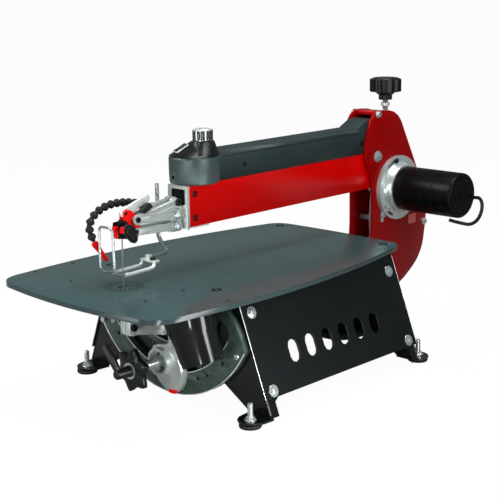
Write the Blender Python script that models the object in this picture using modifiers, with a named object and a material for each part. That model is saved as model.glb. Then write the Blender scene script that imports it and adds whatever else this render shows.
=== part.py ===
"""Scroll saw with a parallel-link arm: fixed table on a sheet-metal stand, tilting head with
upper and lower arms, motor, blade clamps, hold-down and air nozzle.

Lengths below are in millimetres and in the blade frame: the blade crosses the table's top face
at (0, 0, 0), +Y runs along the arm to the back, +X is the motor side (right), +Z is up. The
datum empty carries the shift that puts the object's origin under the middle of its box, on the
floor.
"""

import math

import bmesh
import bpy
from mathutils import Matrix, Vector

MM = 0.001

# ---- driving dimensions -------------------------------------------------------------------
MIDDLE_Y = 289.65  # middle of the whole length
FLOOR = -183.0  # underside of the rubber feet
TABLE_T = 7.0
GAP = 0.3  # clearance between touching pieces

SIDE_X0, SIDE_SLOPE = 132.0, 0.386  # outer face of a side panel: x = SIDE_X0 - SIDE_SLOPE z
SHEET, PANEL_T, FLANGE_T = 3.0, 2.5, 2.6
FRAME_MID = 262.5  # the rear of the stand mirrors the front about this y plane
FOOT_Z = -176.0  # underside of the foot tabs
FOOT_X, FOOT_Y = 177.0, 68.0

TRUNNION_Y = (80.5, 90.5)
FRONT_SHEET = (TRUNNION_Y[1] + GAP, TRUNNION_Y[1] + GAP + SHEET)
TRUNNION_R = 177.5
SLOT_R = 143.6  # outer wall of the arc slot
RIM_R = 99.0  # inner edge of the trunnion
MODULE, RACK_TEETH, PINION_TEETH = 2.0, 112, 14  # RACK_TEETH is for the full circle
RACK_R = MODULE * RACK_TEETH / 2
PINION_R = MODULE * PINION_TEETH / 2
KNOB_Z = -(RACK_R + PINION_R)

ARM_X, ARM_Z0, ARM_Z1 = 20.0, 69.0, 129.0
ARM_Y0, ARM_Y1 = 112.0, 606.0
PLATE_X = (21.0, 25.0)  # inner and outer face of a housing plate
ECCENTRICITY = 1.2
SCREW_Y = 596.0
SHARP_ANGLE = 35  # edges steeper than this, in degrees, are shaded sharp
SIDES = ((1, "right"), (-1, "left"))

# ---- scene and materials ------------------------------------------------------------------
for old in list(bpy.data.objects):
    bpy.data.objects.remove(old, do_unlink=True)

PARTS = bpy.data.collections.new("scroll_saw")
CUTTERS = bpy.data.collections.new("cutters")
for collection in (PARTS, CUTTERS):
    bpy.context.scene.collection.children.link(collection)

# finish: (base colour, roughness, metallic)
PALETTE = {
    "slate": ((0.065, 0.095, 0.10), 0.28, 0.3),
    "black": ((0.012, 0.014, 0.015), 0.3, 0.1),
    "red": ((0.42, 0.004, 0.004), 0.18, 0.0),
    "dark_red": ((0.16, 0.003, 0.003), 0.35, 0.0),
    "silver": ((0.62, 0.65, 0.64), 0.35, 0.9),
    "steel": ((0.5, 0.52, 0.52), 0.25, 1.0),
    "plastic": ((0.015, 0.018, 0.018), 0.42, 0.0),
    "rubber": ((0.02, 0.02, 0.02), 0.8, 0.0),
    "cover": ((0.045, 0.055, 0.058), 0.6, 0.0),
    "clamp_red": ((0.5, 0.006, 0.006), 0.25, 0.0),
}


def finish_material(name, finish):
    color, roughness, metallic = PALETTE[finish]
    material = bpy.data.materials.new(name + "_finish")
    material.use_nodes = True
    shader = material.node_tree.nodes["Principled BSDF"]
    shader.inputs["Base Color"].default_value = (*color, 1)
    shader.inputs["Roughness"].default_value = roughness
    shader.inputs["Metallic"].default_value = metallic
    return material


# ---- solids -------------------------------------------------------------------------------
AXIS_TURN = {
    "x": Matrix(((0, 0, 1, 0), (1, 0, 0, 0), (0, 1, 0, 0), (0, 0, 0, 1))),  # u, v, w -> y, z, x
    "y": Matrix(((1, 0, 0, 0), (0, 0, -1, 0), (0, 1, 0, 0), (0, 0, 0, 1))),  # u, v, w -> x, z, -y
    "z": Matrix.Identity(4),
}


def linked(data):
    obj = bpy.data.objects.new("piece", data)
    PARTS.objects.link(obj)
    return obj


def from_bmesh(work):
    mesh = bpy.data.meshes.new("piece")
    work.to_mesh(mesh)
    work.free()
    return linked(mesh)


def baked(obj):
    """The object's evaluated shape as a welded plain mesh object, in its own coordinates."""
    bpy.context.view_layer.update()
    graph = bpy.context.evaluated_depsgraph_get()
    mesh = bpy.data.meshes.new_from_object(obj.evaluated_get(graph))
    fresh = linked(mesh)
    bpy.data.objects.remove(obj, do_unlink=True)
    work = bmesh.new()
    work.from_mesh(mesh)
    bmesh.ops.remove_doubles(work, verts=work.verts, dist=1e-6)
    bmesh.ops.recalc_face_normals(work, faces=work.faces)
    work.to_mesh(mesh)
    work.free()
    return fresh


def reshape(obj, matrix):
    obj.data.transform(matrix)
    if matrix.determinant() < 0:
        obj.data.flip_normals()
    obj.data.update()
    return obj


def moved(obj, x=0.0, y=0.0, z=0.0):
    return reshape(obj, Matrix.Translation(Vector((x, y, z)) * MM))


def mirror_y(obj):
    """The object reflected front to back about the middle of the stand."""
    shift = Matrix.Translation((0, 2 * FRAME_MID * MM, 0))
    return reshape(obj, shift @ Matrix.Diagonal((1, -1, 1, 1)))


def on_side(obj, side):
    """An object drawn on the right, reflected to the left where side is -1."""
    return obj if side > 0 else reshape(obj, Matrix.Diagonal((-1, 1, 1, 1)))


def add_spline(curve, points):
    spline = curve.splines.new("POLY")
    spline.points.add(len(points) - 1)
    for point, (x, y, z) in zip(spline.points, points):
        point.co = (x * MM, y * MM, z * MM, 1)
    return spline


def plate(loops, w0, w1, axis):
    """A flat outline with holes, cut from w0 to w1 along the axis. Loops are (u, v) points."""
    curve = bpy.data.curves.new("outline", "CURVE")
    curve.dimensions = "2D"
    curve.fill_mode = "BOTH"
    curve.extrude = (w1 - w0) / 2 * MM
    for loop in loops:
        add_spline(curve, [(u, v, 0) for u, v in loop]).use_cyclic_u = True
    middle = (w0 + w1) / 2 * MM * (-1 if axis == "y" else 1)
    return reshape(baked(linked(curve)), AXIS_TURN[axis] @ Matrix.Translation((0, 0, middle)))


def tube(points, r, resolution=2):
    """A round wire along points, with filled ends."""
    curve = bpy.data.curves.new("wire", "CURVE")
    curve.dimensions = "3D"
    curve.bevel_depth = r * MM
    curve.bevel_resolution = resolution
    curve.use_fill_caps = True
    add_spline(curve, points)
    return baked(linked(curve))


def box(x0, x1, y0, y1, z0, z1):
    work = bmesh.new()
    bmesh.ops.create_cube(work, size=1.0)
    size = Matrix.Diagonal(((x1 - x0) * MM, (y1 - y0) * MM, (z1 - z0) * MM, 1))
    middle = Vector(((x0 + x1) / 2, (y0 + y1) / 2, (z0 + z1) / 2)) * MM
    return reshape(from_bmesh(work), Matrix.Translation(middle) @ size)


def frustum(r_low, r_high, height, sides):
    """A round bar or cone along z, centred on the frame's origin."""
    work = bmesh.new()
    bmesh.ops.create_cone(
        work, cap_ends=True, segments=sides,
        radius1=r_low * MM, radius2=r_high * MM, depth=height * MM,
    )
    return from_bmesh(work)


def rod(start, end, r, sides=16, r_end=None):
    """A round bar from start to end, tapering to r_end where it is given."""
    start, end = Vector(start), Vector(end)
    run = end - start
    obj = frustum(r, r if r_end is None else r_end, run.length, sides)
    aim = run.to_track_quat("Z", "Y").to_matrix().to_4x4()
    return reshape(obj, Matrix.Translation((start + end) / 2 * MM) @ aim)


def pin(axis, u, v, w0, w1, r, sides=16):
    """A round bar along an axis: x takes (y, z), y takes (x, z), z takes (x, y)."""
    if axis == "x":
        return rod((w0, u, v), (w1, u, v), r, sides)
    if axis == "y":
        return rod((u, w0, v), (u, w1, v), r, sides)
    return rod((u, v, w0), (u, v, w1), r, sides)


def turned(profile, steps, axis="z", closed=False):
    """(radius, height) points, listed from the top down the outer side, turned round z or x."""
    mesh = bpy.data.meshes.new("profile")
    count = len(profile)
    edges = [(i, i + 1) for i in range(count - 1)] + ([(count - 1, 0)] if closed else [])
    mesh.from_pydata([(r * MM, 0, h * MM) for r, h in profile], edges, [])
    obj = linked(mesh)
    screw = obj.modifiers.new("Screw", "SCREW")
    screw.steps = screw.render_steps = steps
    screw.use_merge_vertices = True
    screw.merge_threshold = 1e-5
    obj = baked(obj)
    if axis == "x":
        reshape(obj, Matrix.Rotation(math.radians(90), 4, "Y"))
    return obj


def boolean(target, operation, *tools):
    for tool in tools:
        modifier = target.modifiers.new(operation.title(), "BOOLEAN")
        modifier.operation = operation
        modifier.solver = "EXACT"
        modifier.object = tool
        PARTS.objects.unlink(tool)
        CUTTERS.objects.link(tool)
        tool.parent = target
        tool.hide_render = True
        tool.display_type = "WIRE"
        tool.name = "tool"
    return target


def join(target, *tools):
    return boolean(target, "UNION", *tools)


def cut(target, *tools):
    return boolean(target, "DIFFERENCE", *tools)


# ---- outlines -----------------------------------------------------------------------------


def plus(first, second):
    return (first[0] + second[0], first[1] + second[1])


def polar(r, angle):
    return (r * math.cos(angle), r * math.sin(angle))


def shifted(loop, du, dv):
    return [(u + du, v + dv) for u, v in loop]


def span(side, inner, outer):
    """The x range between two distances from the middle plane, on one side."""
    return sorted((side * inner, side * outer))


def both(half):
    """A half outline that starts and ends on or near x = 0, with its mirror image."""
    return half + [(-x, v) for x, v in half[::-1] if abs(x) > 0.01]


def arc(cu, cv, r, start, end, count):
    """Points on an arc from start to end degrees, both ends included."""
    step = (end - start) / (count - 1)
    return [plus((cu, cv), polar(r, math.radians(start + step * i))) for i in range(count)]


def circle(cu, cv, r, count=16):
    return arc(cu, cv, r, 0, 360 - 360 / count, count)


def hexagon(cu, cv, r):
    return arc(cu, cv, r, 0, 300, 6)


def hull(*rounds, count=20):
    """The outline of a belt drawn round circles (u, v, r)."""
    points = set()
    for u, v, r in rounds:
        for i in range(count):
            turn = 2 * math.pi * i / count
            points.add((round(u + r * math.cos(turn), 4), round(v + r * math.sin(turn), 4)))
    points = sorted(points)

    def turns_left(a, b, c):
        return (b[0] - a[0]) * (c[1] - a[1]) - (b[1] - a[1]) * (c[0] - a[0]) > 1e-3

    def chain(ordered):
        kept = []
        for point in ordered:
            while len(kept) > 1 and not turns_left(kept[-2], kept[-1], point):
                kept.pop()
            kept.append(point)
        return kept[:-1]

    return chain(points) + chain(points[::-1])


def rounded(loop):
    """The loop with its corners cut back twice."""
    near, far = 0.78, 0.22
    for _ in range(2):
        trimmed = []
        for (au, av), (bu, bv) in zip(loop, loop[1:] + loop[:1]):
            trimmed.append((near * au + far * bu, near * av + far * bv))
            trimmed.append((far * au + near * bu, far * av + near * bv))
        loop = trimmed
    return loop


def fluted(r, depth, flutes, per, power=1.0, start=0.0):
    """A round outline with flutes, per points to a flute; power below 1 broadens them."""
    points = []
    for i in range(flutes * per):
        turn = 2 * math.pi * i / (flutes * per)
        dip = (0.5 - 0.5 * math.cos(flutes * turn)) ** power
        points.append(polar(r - depth * dip, math.radians(start) + turn))
    return points


# ---- joints -------------------------------------------------------------------------------
# Pivots, pins and axes across the arm are (y, z).
ARM_PIVOT = (543.0, 122.0)
MOTOR_AXIS = (596.0, 63.0)
REAR_PIVOT = (560.0, 11.0)
DRIVE_PIN = (REAR_PIVOT[0], MOTOR_AXIS[1])
LEVER_PIVOT = (4.0, 104.0)
UPPER_CLAMP, LOWER_CLAMP = (2.0, 77.0), (5.5, -60.0)

# Each rocker has a pivot, a push rod pin and a front pin; the parallel link's pins are shifted
# from the rocker's pivot and front pin.
UPPER_PIVOT, UPPER_ROD_PIN, UPPER_FRONT = (98.0, 89.4), (98.0, 107.0), (20.0, 93.0)
LOWER_PIVOT, LOWER_ROD_PIN, LOWER_FRONT = (98.0, -67.4), (98.0, -85.0), (20.0, -67.4)
UPPER_SHIFT, LOWER_SHIFT = (-2.0, -17.0), (-2.0, 17.0)
UPPER_LINK_PIVOT, UPPER_LINK_FRONT = plus(UPPER_PIVOT, UPPER_SHIFT), plus(UPPER_FRONT, UPPER_SHIFT)
LOWER_LINK_PIVOT, LOWER_LINK_FRONT = plus(LOWER_PIVOT, LOWER_SHIFT), plus(LOWER_FRONT, LOWER_SHIFT)

DOME_AT = (0.0, 142.0)  # (x, y) of the round control head
CAP_TOP = (0.0, 160.0)  # (x, y) of the top of its leaning cap
STEM = (-15.0, 81.0)  # (x, y) of the hold-down rod

HOMES = {}  # joint name: its place in the blade frame


def empty(name, parent=None, at=(0, 0, 0)):
    obj = bpy.data.objects.new(name, None)
    obj.empty_display_size = 0.02
    PARTS.objects.link(obj)
    home = HOMES[parent.name] if parent else (0, 0, 0)
    obj.parent = parent
    obj.location = [(p - q) * MM for p, q in zip(at, home)]
    HOMES[name] = at
    return obj


datum = empty("datum")
datum.location = (0, -MIDDLE_Y * MM, -FLOOR * MM)

head = empty("head_tilt", datum)
tilt_knob_axis = empty("tilt_knob_turn", head, (0, 0, KNOB_Z))
lock_axis = empty("lock_lever_turn", head, (0, 0, KNOB_Z))
arm = empty("arm_raise", head, (0, *ARM_PIVOT))
height_axis = empty("height_knob_turn", head, (0, SCREW_Y, 0))
upper_rocker = empty("blade_stroke", arm, (0, *UPPER_PIVOT))
upper_link = empty("upper_link_swing", arm, (0, *UPPER_LINK_PIVOT))
upper_holder = empty("upper_holder_level", upper_rocker, (0, *UPPER_FRONT))
lever_axis = empty("tension_lever_swing", upper_holder, (0, *LEVER_PIVOT))
upper_clamp = empty("upper_clamp_turn", upper_holder, (0, *UPPER_CLAMP))
upper_push = empty("upper_rod_slide", arm, (0, *UPPER_ROD_PIN))
lower_rocker = empty("lower_rocker_swing", head, (0, *LOWER_PIVOT))
lower_link = empty("lower_link_swing", head, (0, *LOWER_LINK_PIVOT))
lower_holder = empty("lower_holder_level", lower_rocker, (0, *LOWER_FRONT))
lower_clamp = empty("lower_clamp_turn", lower_holder, (0, *LOWER_CLAMP))
lower_push = empty("lower_rod_slide", head, (0, *LOWER_ROD_PIN))
rear_rocker = empty("rear_rocker_swing", head, (0, *REAR_PIVOT))
con_rod = empty("con_rod_level", rear_rocker, (0, *DRIVE_PIN))
crank = empty("motor_spin", head, (0, *MOTOR_AXIS))
speed_axis = empty("speed_knob_turn", arm, (*CAP_TOP, 188))
hold_down = empty("hold_down_slide", arm, (*STEM, 100))
foot_axis = empty("hold_foot_pitch", hold_down, (-4.0, 52.0, 31.0))


def node(name, obj, finish, parent=datum):
    """Names a finished piece, hangs it on its joint and gives it its material. Its shape is
    already in the blade frame, so its origin goes to the joint's axis."""
    shift = Matrix.Translation(-Vector(HOMES[parent.name]) * MM)
    obj.data.transform(shift)
    for modifier in obj.modifiers:
        modifier.object.data.transform(shift)
    obj.name = name
    obj.data.name = name
    obj.parent = parent
    obj.data.shade_smooth()
    obj.data.set_sharp_from_angle(angle=math.radians(SHARP_ANGLE))
    obj.data.materials.clear()
    obj.data.materials.append(finish_material(name, finish))


# ---- table --------------------------------------------------------------------------------
BLADE_SLOT_Y = -2.6
# z, half width, half length of the blade slot's oval cutter at its top and bottom
BLADE_SLOT_TOP, BLADE_SLOT_BOTTOM = (1.0, 1.0, 7.7), (-8.0, 10.0, 15.8)


def half_width(y):
    return 176.7 + 7.8 * (y / 100) - 3.7 * (y / 100) ** 2


def front_edge(x):
    return -107.0 + 5.85 * (x / 100) ** 2


def rear_edge(x):
    return 473.4 - 2.5 * (x / 100) ** 2


def bend(start, pull, end):
    """Inner points of the smooth curve that leaves start and reaches end, drawn towards pull."""
    weights = [((1 - t) ** 2, 2 * t * (1 - t), t * t) for t in (i / 7 for i in range(1, 7))]
    return [
        tuple(a * p + b * q + c * r for p, q, r in zip(start, pull, end)) for a, b, c in weights
    ]


def table_outline():
    side = [(half_width(y), y) for y in (-45 + 48 * i for i in range(11))]
    rear_part = [(x, rear_edge(x)) for x in (105, 70, 35, 0)]
    front_part = [(x, front_edge(x)) for x in (0, 32, 64, 96, 128)]
    rear_corner = bend(side[-1], (137, 469.5), rear_part[0])
    front_corner = bend(front_part[-1], (171.5, -96), side[0])
    return both(front_part + front_corner + side + rear_corner + rear_part)


def blade_slot():
    """An oval cutter that widens downwards."""
    slot = frustum(1, 1, 2, 24)
    for vert in slot.data.vertices:
        z, half_x, half_y = BLADE_SLOT_TOP if vert.co.z > 0 else BLADE_SLOT_BOTTOM
        vert.co = (vert.co.x * half_x, vert.co.y * half_y + BLADE_SLOT_Y * MM, z * MM)
    slot.data.update()
    return slot


node("table", cut(plate([table_outline()], -TABLE_T, 0, "z"), blade_slot()), "slate")

# ---- stand --------------------------------------------------------------------------------
TILT = math.atan(SIDE_SLOPE)
NORMAL = Vector((math.cos(TILT), 0, math.sin(TILT)))
DOWN = Vector((math.sin(TILT), 0, -math.cos(TILT)))
PANEL_LEG = (PANEL_T + GAP) / math.cos(TILT)  # panel and gap, measured along x
PANEL_TOP = -10.0
BOLT_Y, BOLT_ZS, BOLT_HOLE_R = 106.0, (-34, -139), 3.3


def slanted(obj):
    """Lays a plate drawn in (down-slope, y), its outer face at 0, onto the right side's slope."""
    return reshape(obj, Matrix((
        (DOWN.x, 0, NORMAL.x, SIDE_X0 * MM),
        (0, 1, 0, 0),
        (DOWN.z, 0, NORMAL.z, 0),
        (0, 0, 0, 1),
    )))


def slope_of(z):
    return -z / math.cos(TILT)


def rear_of(y):
    return 2 * FRAME_MID - y


BOLTS = [(slope_of(z), y) for y in (BOLT_Y, rear_of(BOLT_Y)) for z in BOLT_ZS]  # front two first


def half_web():
    """Right half of the front sheet's outer edge, from the bottom middle round to the top."""
    foot = FOOT_Z + 0.4

    def corner(z):
        return (SIDE_X0 - SIDE_SLOPE * z - PANEL_LEG - 0.4, z)

    return arc(0, 0, 168, -90, -55, 7) + [(158, foot), corner(foot), corner(PANEL_TOP)]


def frame_flange(y0):
    """The flange behind the right side panel, with its bolt holes."""
    top, bottom = slope_of(-14.0), slope_of(-172.5)
    loop = [
        (top, y0), (bottom, y0), (bottom, 107), (slope_of(-153), 107), (slope_of(-146), 119),
        (top, 119),
    ]
    holes = [circle(*at, BOLT_HOLE_R, 8) for at in BOLTS[:2]]
    outer = -PANEL_T - GAP
    return slanted(plate([loop] + holes, outer - FLANGE_T, outer, "z"))


def foot_tab(y1):
    loop = [(198.6, y1), (153, y1)] + arc(176, 74, 21.5, 180, 360, 9)
    return plate([loop, circle(FOOT_X, FOOT_Y, 4.4, 8)], FOOT_Z, FOOT_Z + SHEET, "z")


def frame_sheet():
    """The front sheet with an open middle, a top lip, side flanges and foot tabs."""
    y0, y1 = FRONT_SHEET
    opening = both(arc(0, 0, 106, -90, -35, 8) + [(96, -40), (92, -14)])
    sheet = plate([both(half_web()), opening], y0, y1, "y")
    join(sheet, box(-126, 126, 67.8, y1 - 0.5, -10.3, -TABLE_T - GAP))
    for side, _ in SIDES:
        join(sheet, on_side(frame_flange(y0 + 0.4), side), on_side(foot_tab(y1 - 0.7), side))
    return sheet


def side_panel():
    """The right side panel with a row of upright slots and four bolt holes."""
    first_y, pitch, r, half_straight = 167.2, 36.8, 9.5, 7.5
    top, middle, bottom = slope_of(PANEL_TOP), slope_of(-98), slope_of(-148)
    y0, y1 = 88.0, rear_of(88.0)
    loops = [[(top, y0), (bottom, y0), (bottom, y1), (top, y1)]]
    for i in range(6):
        y = first_y + pitch * i
        lower_end = arc(middle + half_straight, y, r, -90, 90, 5)
        loops.append(lower_end + arc(middle - half_straight, y, r, 90, 270, 5))
    loops += [circle(*at, BOLT_HOLE_R, 8) for at in BOLTS]
    return slanted(plate(loops, -PANEL_T, 0, "z"))


def panel_bolt(at, side):
    bolt_head = slanted(plate([hexagon(*at, 6.6)], 0.3, 4.6, "z"))
    shank = slanted(plate([circle(*at, 2.8, 8)], -9.0, 2.0, "z"))
    return join(on_side(bolt_head, side), on_side(shank, side))


def rubber_foot(x, y):
    top = FOOT_Z - GAP
    profile = [(0, top), (13, top), (16, FOOT_Z - 3), (16, FLOOR + 0.8), (15, FLOOR), (0, FLOOR)]
    return join(moved(turned(profile, 16), x, y), pin("z", x, y, FOOT_Z - 2, -149, 4.0, 8))


node("front_frame", frame_sheet(), "black")
rear_sheet = mirror_y(frame_sheet())
for joined in rear_sheet.modifiers:
    mirror_y(joined.object)
node("rear_frame", rear_sheet, "black")

for side, tag in SIDES:
    node(f"side_panel_{tag}", on_side(side_panel(), side), "black")
for side, tag in SIDES:
    for number, at in enumerate(BOLTS, 1):
        node(f"panel_bolt_{tag}_{number}", panel_bolt(at, side), "steel")
    for y, where in ((FOOT_Y, "front"), (rear_of(FOOT_Y), "rear")):
        node(f"foot_{where}_{tag}", rubber_foot(side * FOOT_X, y), "rubber")

# ---- trunnions ----------------------------------------------------------------------------
TOOTH_ROOT = 2.4  # depth below the pitch circle
# (offset along the pitch circle, height above it) for the corners of one tooth
TOOTH = [(-1.9, -TOOTH_ROOT), (-0.7, 1.9), (0.7, 1.9), (1.9, -TOOTH_ROOT)]
SLOT_END = 31.0  # degrees below the horizontal at which the arc slot's ends are centred
TRUNNION_EAR = [(146, -58), (134, -40), (122, -31), (108, -31), (98, -36)]  # (x, z)
TRUNNION_HOLES = [(112, -109), (79, -134), (61, -143), (141, -92)]  # (x, z)


def teeth(pitch_r, count, first, last, phase):
    """Points of a toothed edge, tooth k centred at phase + k pitches, k from first to last."""
    points = []
    for k in range(first, last + 1):
        middle = phase + k * 2 * math.pi / count
        points += [polar(pitch_r + rise, middle + along / pitch_r) for along, rise in TOOTH]
    return points


def arc_slot(toothed):
    """The arc slot: outer wall, round ends, and an inner wall that may carry the rack's teeth."""
    inner_r = RACK_R - TOOTH_ROOT
    center = polar((SLOT_R + inner_r) / 2, math.radians(-SLOT_END))
    right_end = arc(*center, (SLOT_R - inner_r) / 2, -SLOT_END, 180 - SLOT_END, 8)
    left_end = [(-x, z) for x, z in right_end[::-1]]
    outer = arc(0, 0, SLOT_R, -180 + SLOT_END, -SLOT_END, 18)[1:-1]
    if toothed:
        phase = math.radians(-90) - math.pi / RACK_TEETH
        inner = teeth(RACK_R, RACK_TEETH, -16, 17, phase)[::-1]
    else:
        inner = arc(0, 0, inner_r, -SLOT_END, -180 + SLOT_END, 12)[1:-1]
    return outer + right_end + inner + left_end


def trunnion(toothed):
    rim = arc(0, 0, RIM_R, -24, -90, 11)
    edge = both(arc(0, 0, TRUNNION_R, -90, -28, 14) + TRUNNION_EAR + rim)
    holes = [circle(side * x, z, 3.0, 8) for side, _ in SIDES for x, z in TRUNNION_HOLES]
    return plate([edge, arc_slot(toothed)] + holes, *TRUNNION_Y, "y")


node("front_trunnion", trunnion(toothed=True), "silver")
node("rear_trunnion", mirror_y(trunnion(toothed=False)), "silver")

# ---- dust port ----------------------------------------------------------------------------
PORT_FOOT, PORT_LEAN = Vector((117.5, 38, -97.5)), Vector((-26, 0, 65)).normalized()
PORT_R, PORT_GROWTH = 29.5, 0.1  # radius at the foot, and its growth for each millimetre up
PORT_WALL = 2.0


def port_cone(start, stop, more=0.0):
    """A length of the port's tapered tube, its radius changed by more."""
    low, high = PORT_FOOT + PORT_LEAN * start, PORT_FOOT + PORT_LEAN * stop
    r_low, r_high = (PORT_R + PORT_GROWTH * along + more for along in (start, stop))
    return rod(low, high, r_low, 24, r_high)


port = port_cone(0, 128)
join(port, port_cone(44, 127, 0.9), box(44, 122, 4, 62, -14, -11.3))
cut(port, port_cone(-6, 150, -PORT_WALL), box(-20, 150, -12, 95, -11.0, 45))
join(port, *[pin("z", x, 10.5, -12.6, -TABLE_T - GAP, 4.5, 12) for x in (50.5, 115.5)])
node("dust_port", port, "plastic")

# ---- head housing -------------------------------------------------------------------------
# Corners of the side plates before rounding, (y, z): down the rear, then up the front.
REAR_OUTLINE = [
    (531, 200), (599, 195), (629, 140), (655, 93), (684, 30),
    (687, -1), (684, -19), (678, -54), (659, -82), (603, -116),
]
FRONT_OUTLINE = [
    (540, -121), (508, -112), (504, -60), (531, -30),
    (531, 66), (526, 87), (508, 120), (512, 153),
]
SPINE_ENDS = (545, 199), (545, -120)  # the spine follows the rear between these points
HOUSING_LOOP = rounded(REAR_OUTLINE + FRONT_OUTLINE)


def housing_plate(side):
    holes = [circle(*ARM_PIVOT, 6.3, 12), circle(*MOTOR_AXIS, 9, 12), circle(*REAR_PIVOT, 5.5, 12)]
    return plate([HOUSING_LOOP] + holes, *span(side, *PLATE_X), "x")


def nearest(point):
    """Index of the housing corner nearest a point."""
    return min(range(len(HOUSING_LOOP)), key=lambda i: math.dist(HOUSING_LOOP[i], point))


def inset(run, depth):
    """An open run of points moved to the right of its direction of travel."""
    made = []
    for i, (u, v) in enumerate(run):
        (au, av), (bu, bv) = run[max(i - 1, 0)], run[min(i + 1, len(run) - 1)]
        length = math.hypot(bu - au, bv - av)
        made.append((u + (bv - av) / length * depth, v - (bu - au) / length * depth))
    return made


def housing_spine():
    """The wall between the side plates, with a hole for the height screw."""
    start, stop = (nearest(end) for end in SPINE_ENDS)
    from_start = HOUSING_LOOP[start:] + HOUSING_LOOP[:start]
    run = from_start[: (stop - start) % len(HOUSING_LOOP) + 1]
    wall = plate([inset(run, 1.0) + inset(run, 6.0)[::-1]], -20.7, 20.7, "x")
    return cut(wall, pin("z", 0, SCREW_Y, 150, 240, 5.4))


for side, tag in SIDES:
    node(f"housing_plate_{tag}", housing_plate(side), "red", head)
node("housing_spine", housing_spine(), "dark_red", head)

# ---- lower arm and front carrier ----------------------------------------------------------
LOWER_CHEEK = [(86, -86), (110, -86), (110, -48), (105, -43), (91, -43), (86, -48)]  # (y, z)
CARRIER = [  # (x, z)
    (14.4, -95.9), (14.4, -55), (23, -55), (27, -112), (38, -128), (40, -142),
    (37, -156), (31, -166.5), (24, -171), (14, -171), (4, -167.5), (-10, -158),
    (-19, -146), (-24.5, -134), (-24.5, -118), (-19, -106.5), (-8, -102.5), (4, -101),
]


def pivot_pins(pivot, link_pivot, half):
    """The cross pins that a rocker and its parallel link turn on."""
    rocker_pin = pin("x", *pivot, -half, half, 4.5, 10)
    return rocker_pin, pin("x", *link_pivot, -half, half, 3.5, 10)


lower_arm = box(-14, 14, 68, 575, -95.5, -56)
cut(lower_arm, box(-11, 11, 60, 590, -92.5, -40))
for side, _ in SIDES:
    join(lower_arm, plate([LOWER_CHEEK], *span(side, 11.2, 13.8), "x"))
cut(lower_arm, box(-20, 20, 60, 84, -100, -87.6))
join(lower_arm, *pivot_pins(LOWER_PIVOT, LOWER_LINK_PIVOT, 13))
rear_lug = plate([hull((-9, -94, 4), (9, -94, 4), (0, -130, 9))], 446, 454, "y")
join(lower_arm, rear_lug, pin("y", 0, -128, 434.8, 450, 9))
node("lower_arm", lower_arm, "black", head)

# The carrier has a cup round the tilt shaft, with a hub and a cross bar inside it.
carrier = plate([CARRIER], 68.2, 80, "y")
join(carrier, pin("y", 0, KNOB_Z, 58, 70, 21, 28))
cut(carrier, pin("y", 0, KNOB_Z, 50, 90, 16.8, 24))
cross_bar = box(-18.6, 18.6, 71, 75.5, KNOB_Z - 2.2, KNOB_Z + 2.2)
join(carrier, pin("y", 0, KNOB_Z, 69.5, 77, 10.5, 20), cross_bar)
cut(carrier, pin("y", 0, KNOB_Z, 45, 105, 7.4))
node("front_carrier", carrier, "silver", head)

# ---- tilt knob, pinion and lock lever -----------------------------------------------------
pinion_loop = teeth(PINION_R, PINION_TEETH, 0, PINION_TEETH - 1, math.radians(90))
pinion = plate([shifted(pinion_loop, 0, KNOB_Z)], 81.2, 90.3, "y")
join(pinion, pin("y", 0, KNOB_Z, 15.5, 83.0, 7.0, 14))
node("tilt_pinion", pinion, "steel", tilt_knob_axis)

star_loop = fluted(33.6, 8.4, flutes=6, per=8, power=0.6, start=20)
star = plate([shifted(star_loop, 0, KNOB_Z)], 8.0, 15.2, "y")
join(star, rod((0, 9, KNOB_Z), (0, 4.6, KNOB_Z), 22, 24, 10.5))
node("tilt_knob", star, "plastic", tilt_knob_axis)

lock = rod((0, 4.4, KNOB_Z), (0, -21, KNOB_Z), 8.5, 16, 7.0)
join(lock, rod((0.5, -14, KNOB_Z - 1), (-23, -21, -86), 4.2, 10, 6.2))
node("tilt_lock_lever", lock, "plastic", lock_axis)

# ---- motor --------------------------------------------------------------------------------
# (radius, x) profiles about the motor's axis
MOTOR_FLANGE = [(8, 45.0), (38, 45.0), (41, 37.0), (46, 34.0), (55, 33.0), (55, 25.4), (8, 25.4)]
MOTOR_BODY = [
    (0, 163), (24, 163), (33, 161), (36.5, 157), (37.6, 130), (37.6, 48), (36.6, 45.4), (0, 45.4),
]
MOTOR_CABLE = [  # (x, y, z)
    (140, 637.5, 52), (158, 637.5, 54), (174, 627, 56), (188, 614, 51), (194, 604, 39),
    (188, 600, 25), (176, 598, 17), (162, 594, 17.5), (150, 590, 19.5), (141, 588, 21.4),
]

flange = moved(turned(MOTOR_FLANGE, 24, "x", closed=True), 0, *MOTOR_AXIS)
node("motor_flange", flange, "silver", head)
node("motor_body", moved(turned(MOTOR_BODY, 24, "x"), 0, *MOTOR_AXIS), "black", head)
node("motor_cable", tube(MOTOR_CABLE, 3.0, 1), "rubber", head)

shaft = pin("x", *MOTOR_AXIS, -6, 44.9, 5.0)
join(shaft, pin("x", *plus(MOTOR_AXIS, (0, ECCENTRICITY)), -3.5, 3.5, 12, 18))
node("eccentric_shaft", shaft, "steel", crank)

pivot_bolt = pin("x", *ARM_PIVOT, -28, 25.6, 6.0)
for bolt_end in ((25.4, 32), (-33, -25.4)):
    join(pivot_bolt, plate([hexagon(*ARM_PIVOT, 10.5)], *bolt_end, "x"))
node("arm_pivot_bolt", pivot_bolt, "steel", head)

# ---- rear rocker, connecting rod and push rods --------------------------------------------
REAR_Y = REAR_PIVOT[0]
UPPER_ROD_REAR, LOWER_ROD_REAR = (REAR_Y, UPPER_ROD_PIN[1]), (REAR_Y, LOWER_ROD_PIN[1])
EYE_X = (-3.3, 3.3)

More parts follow.
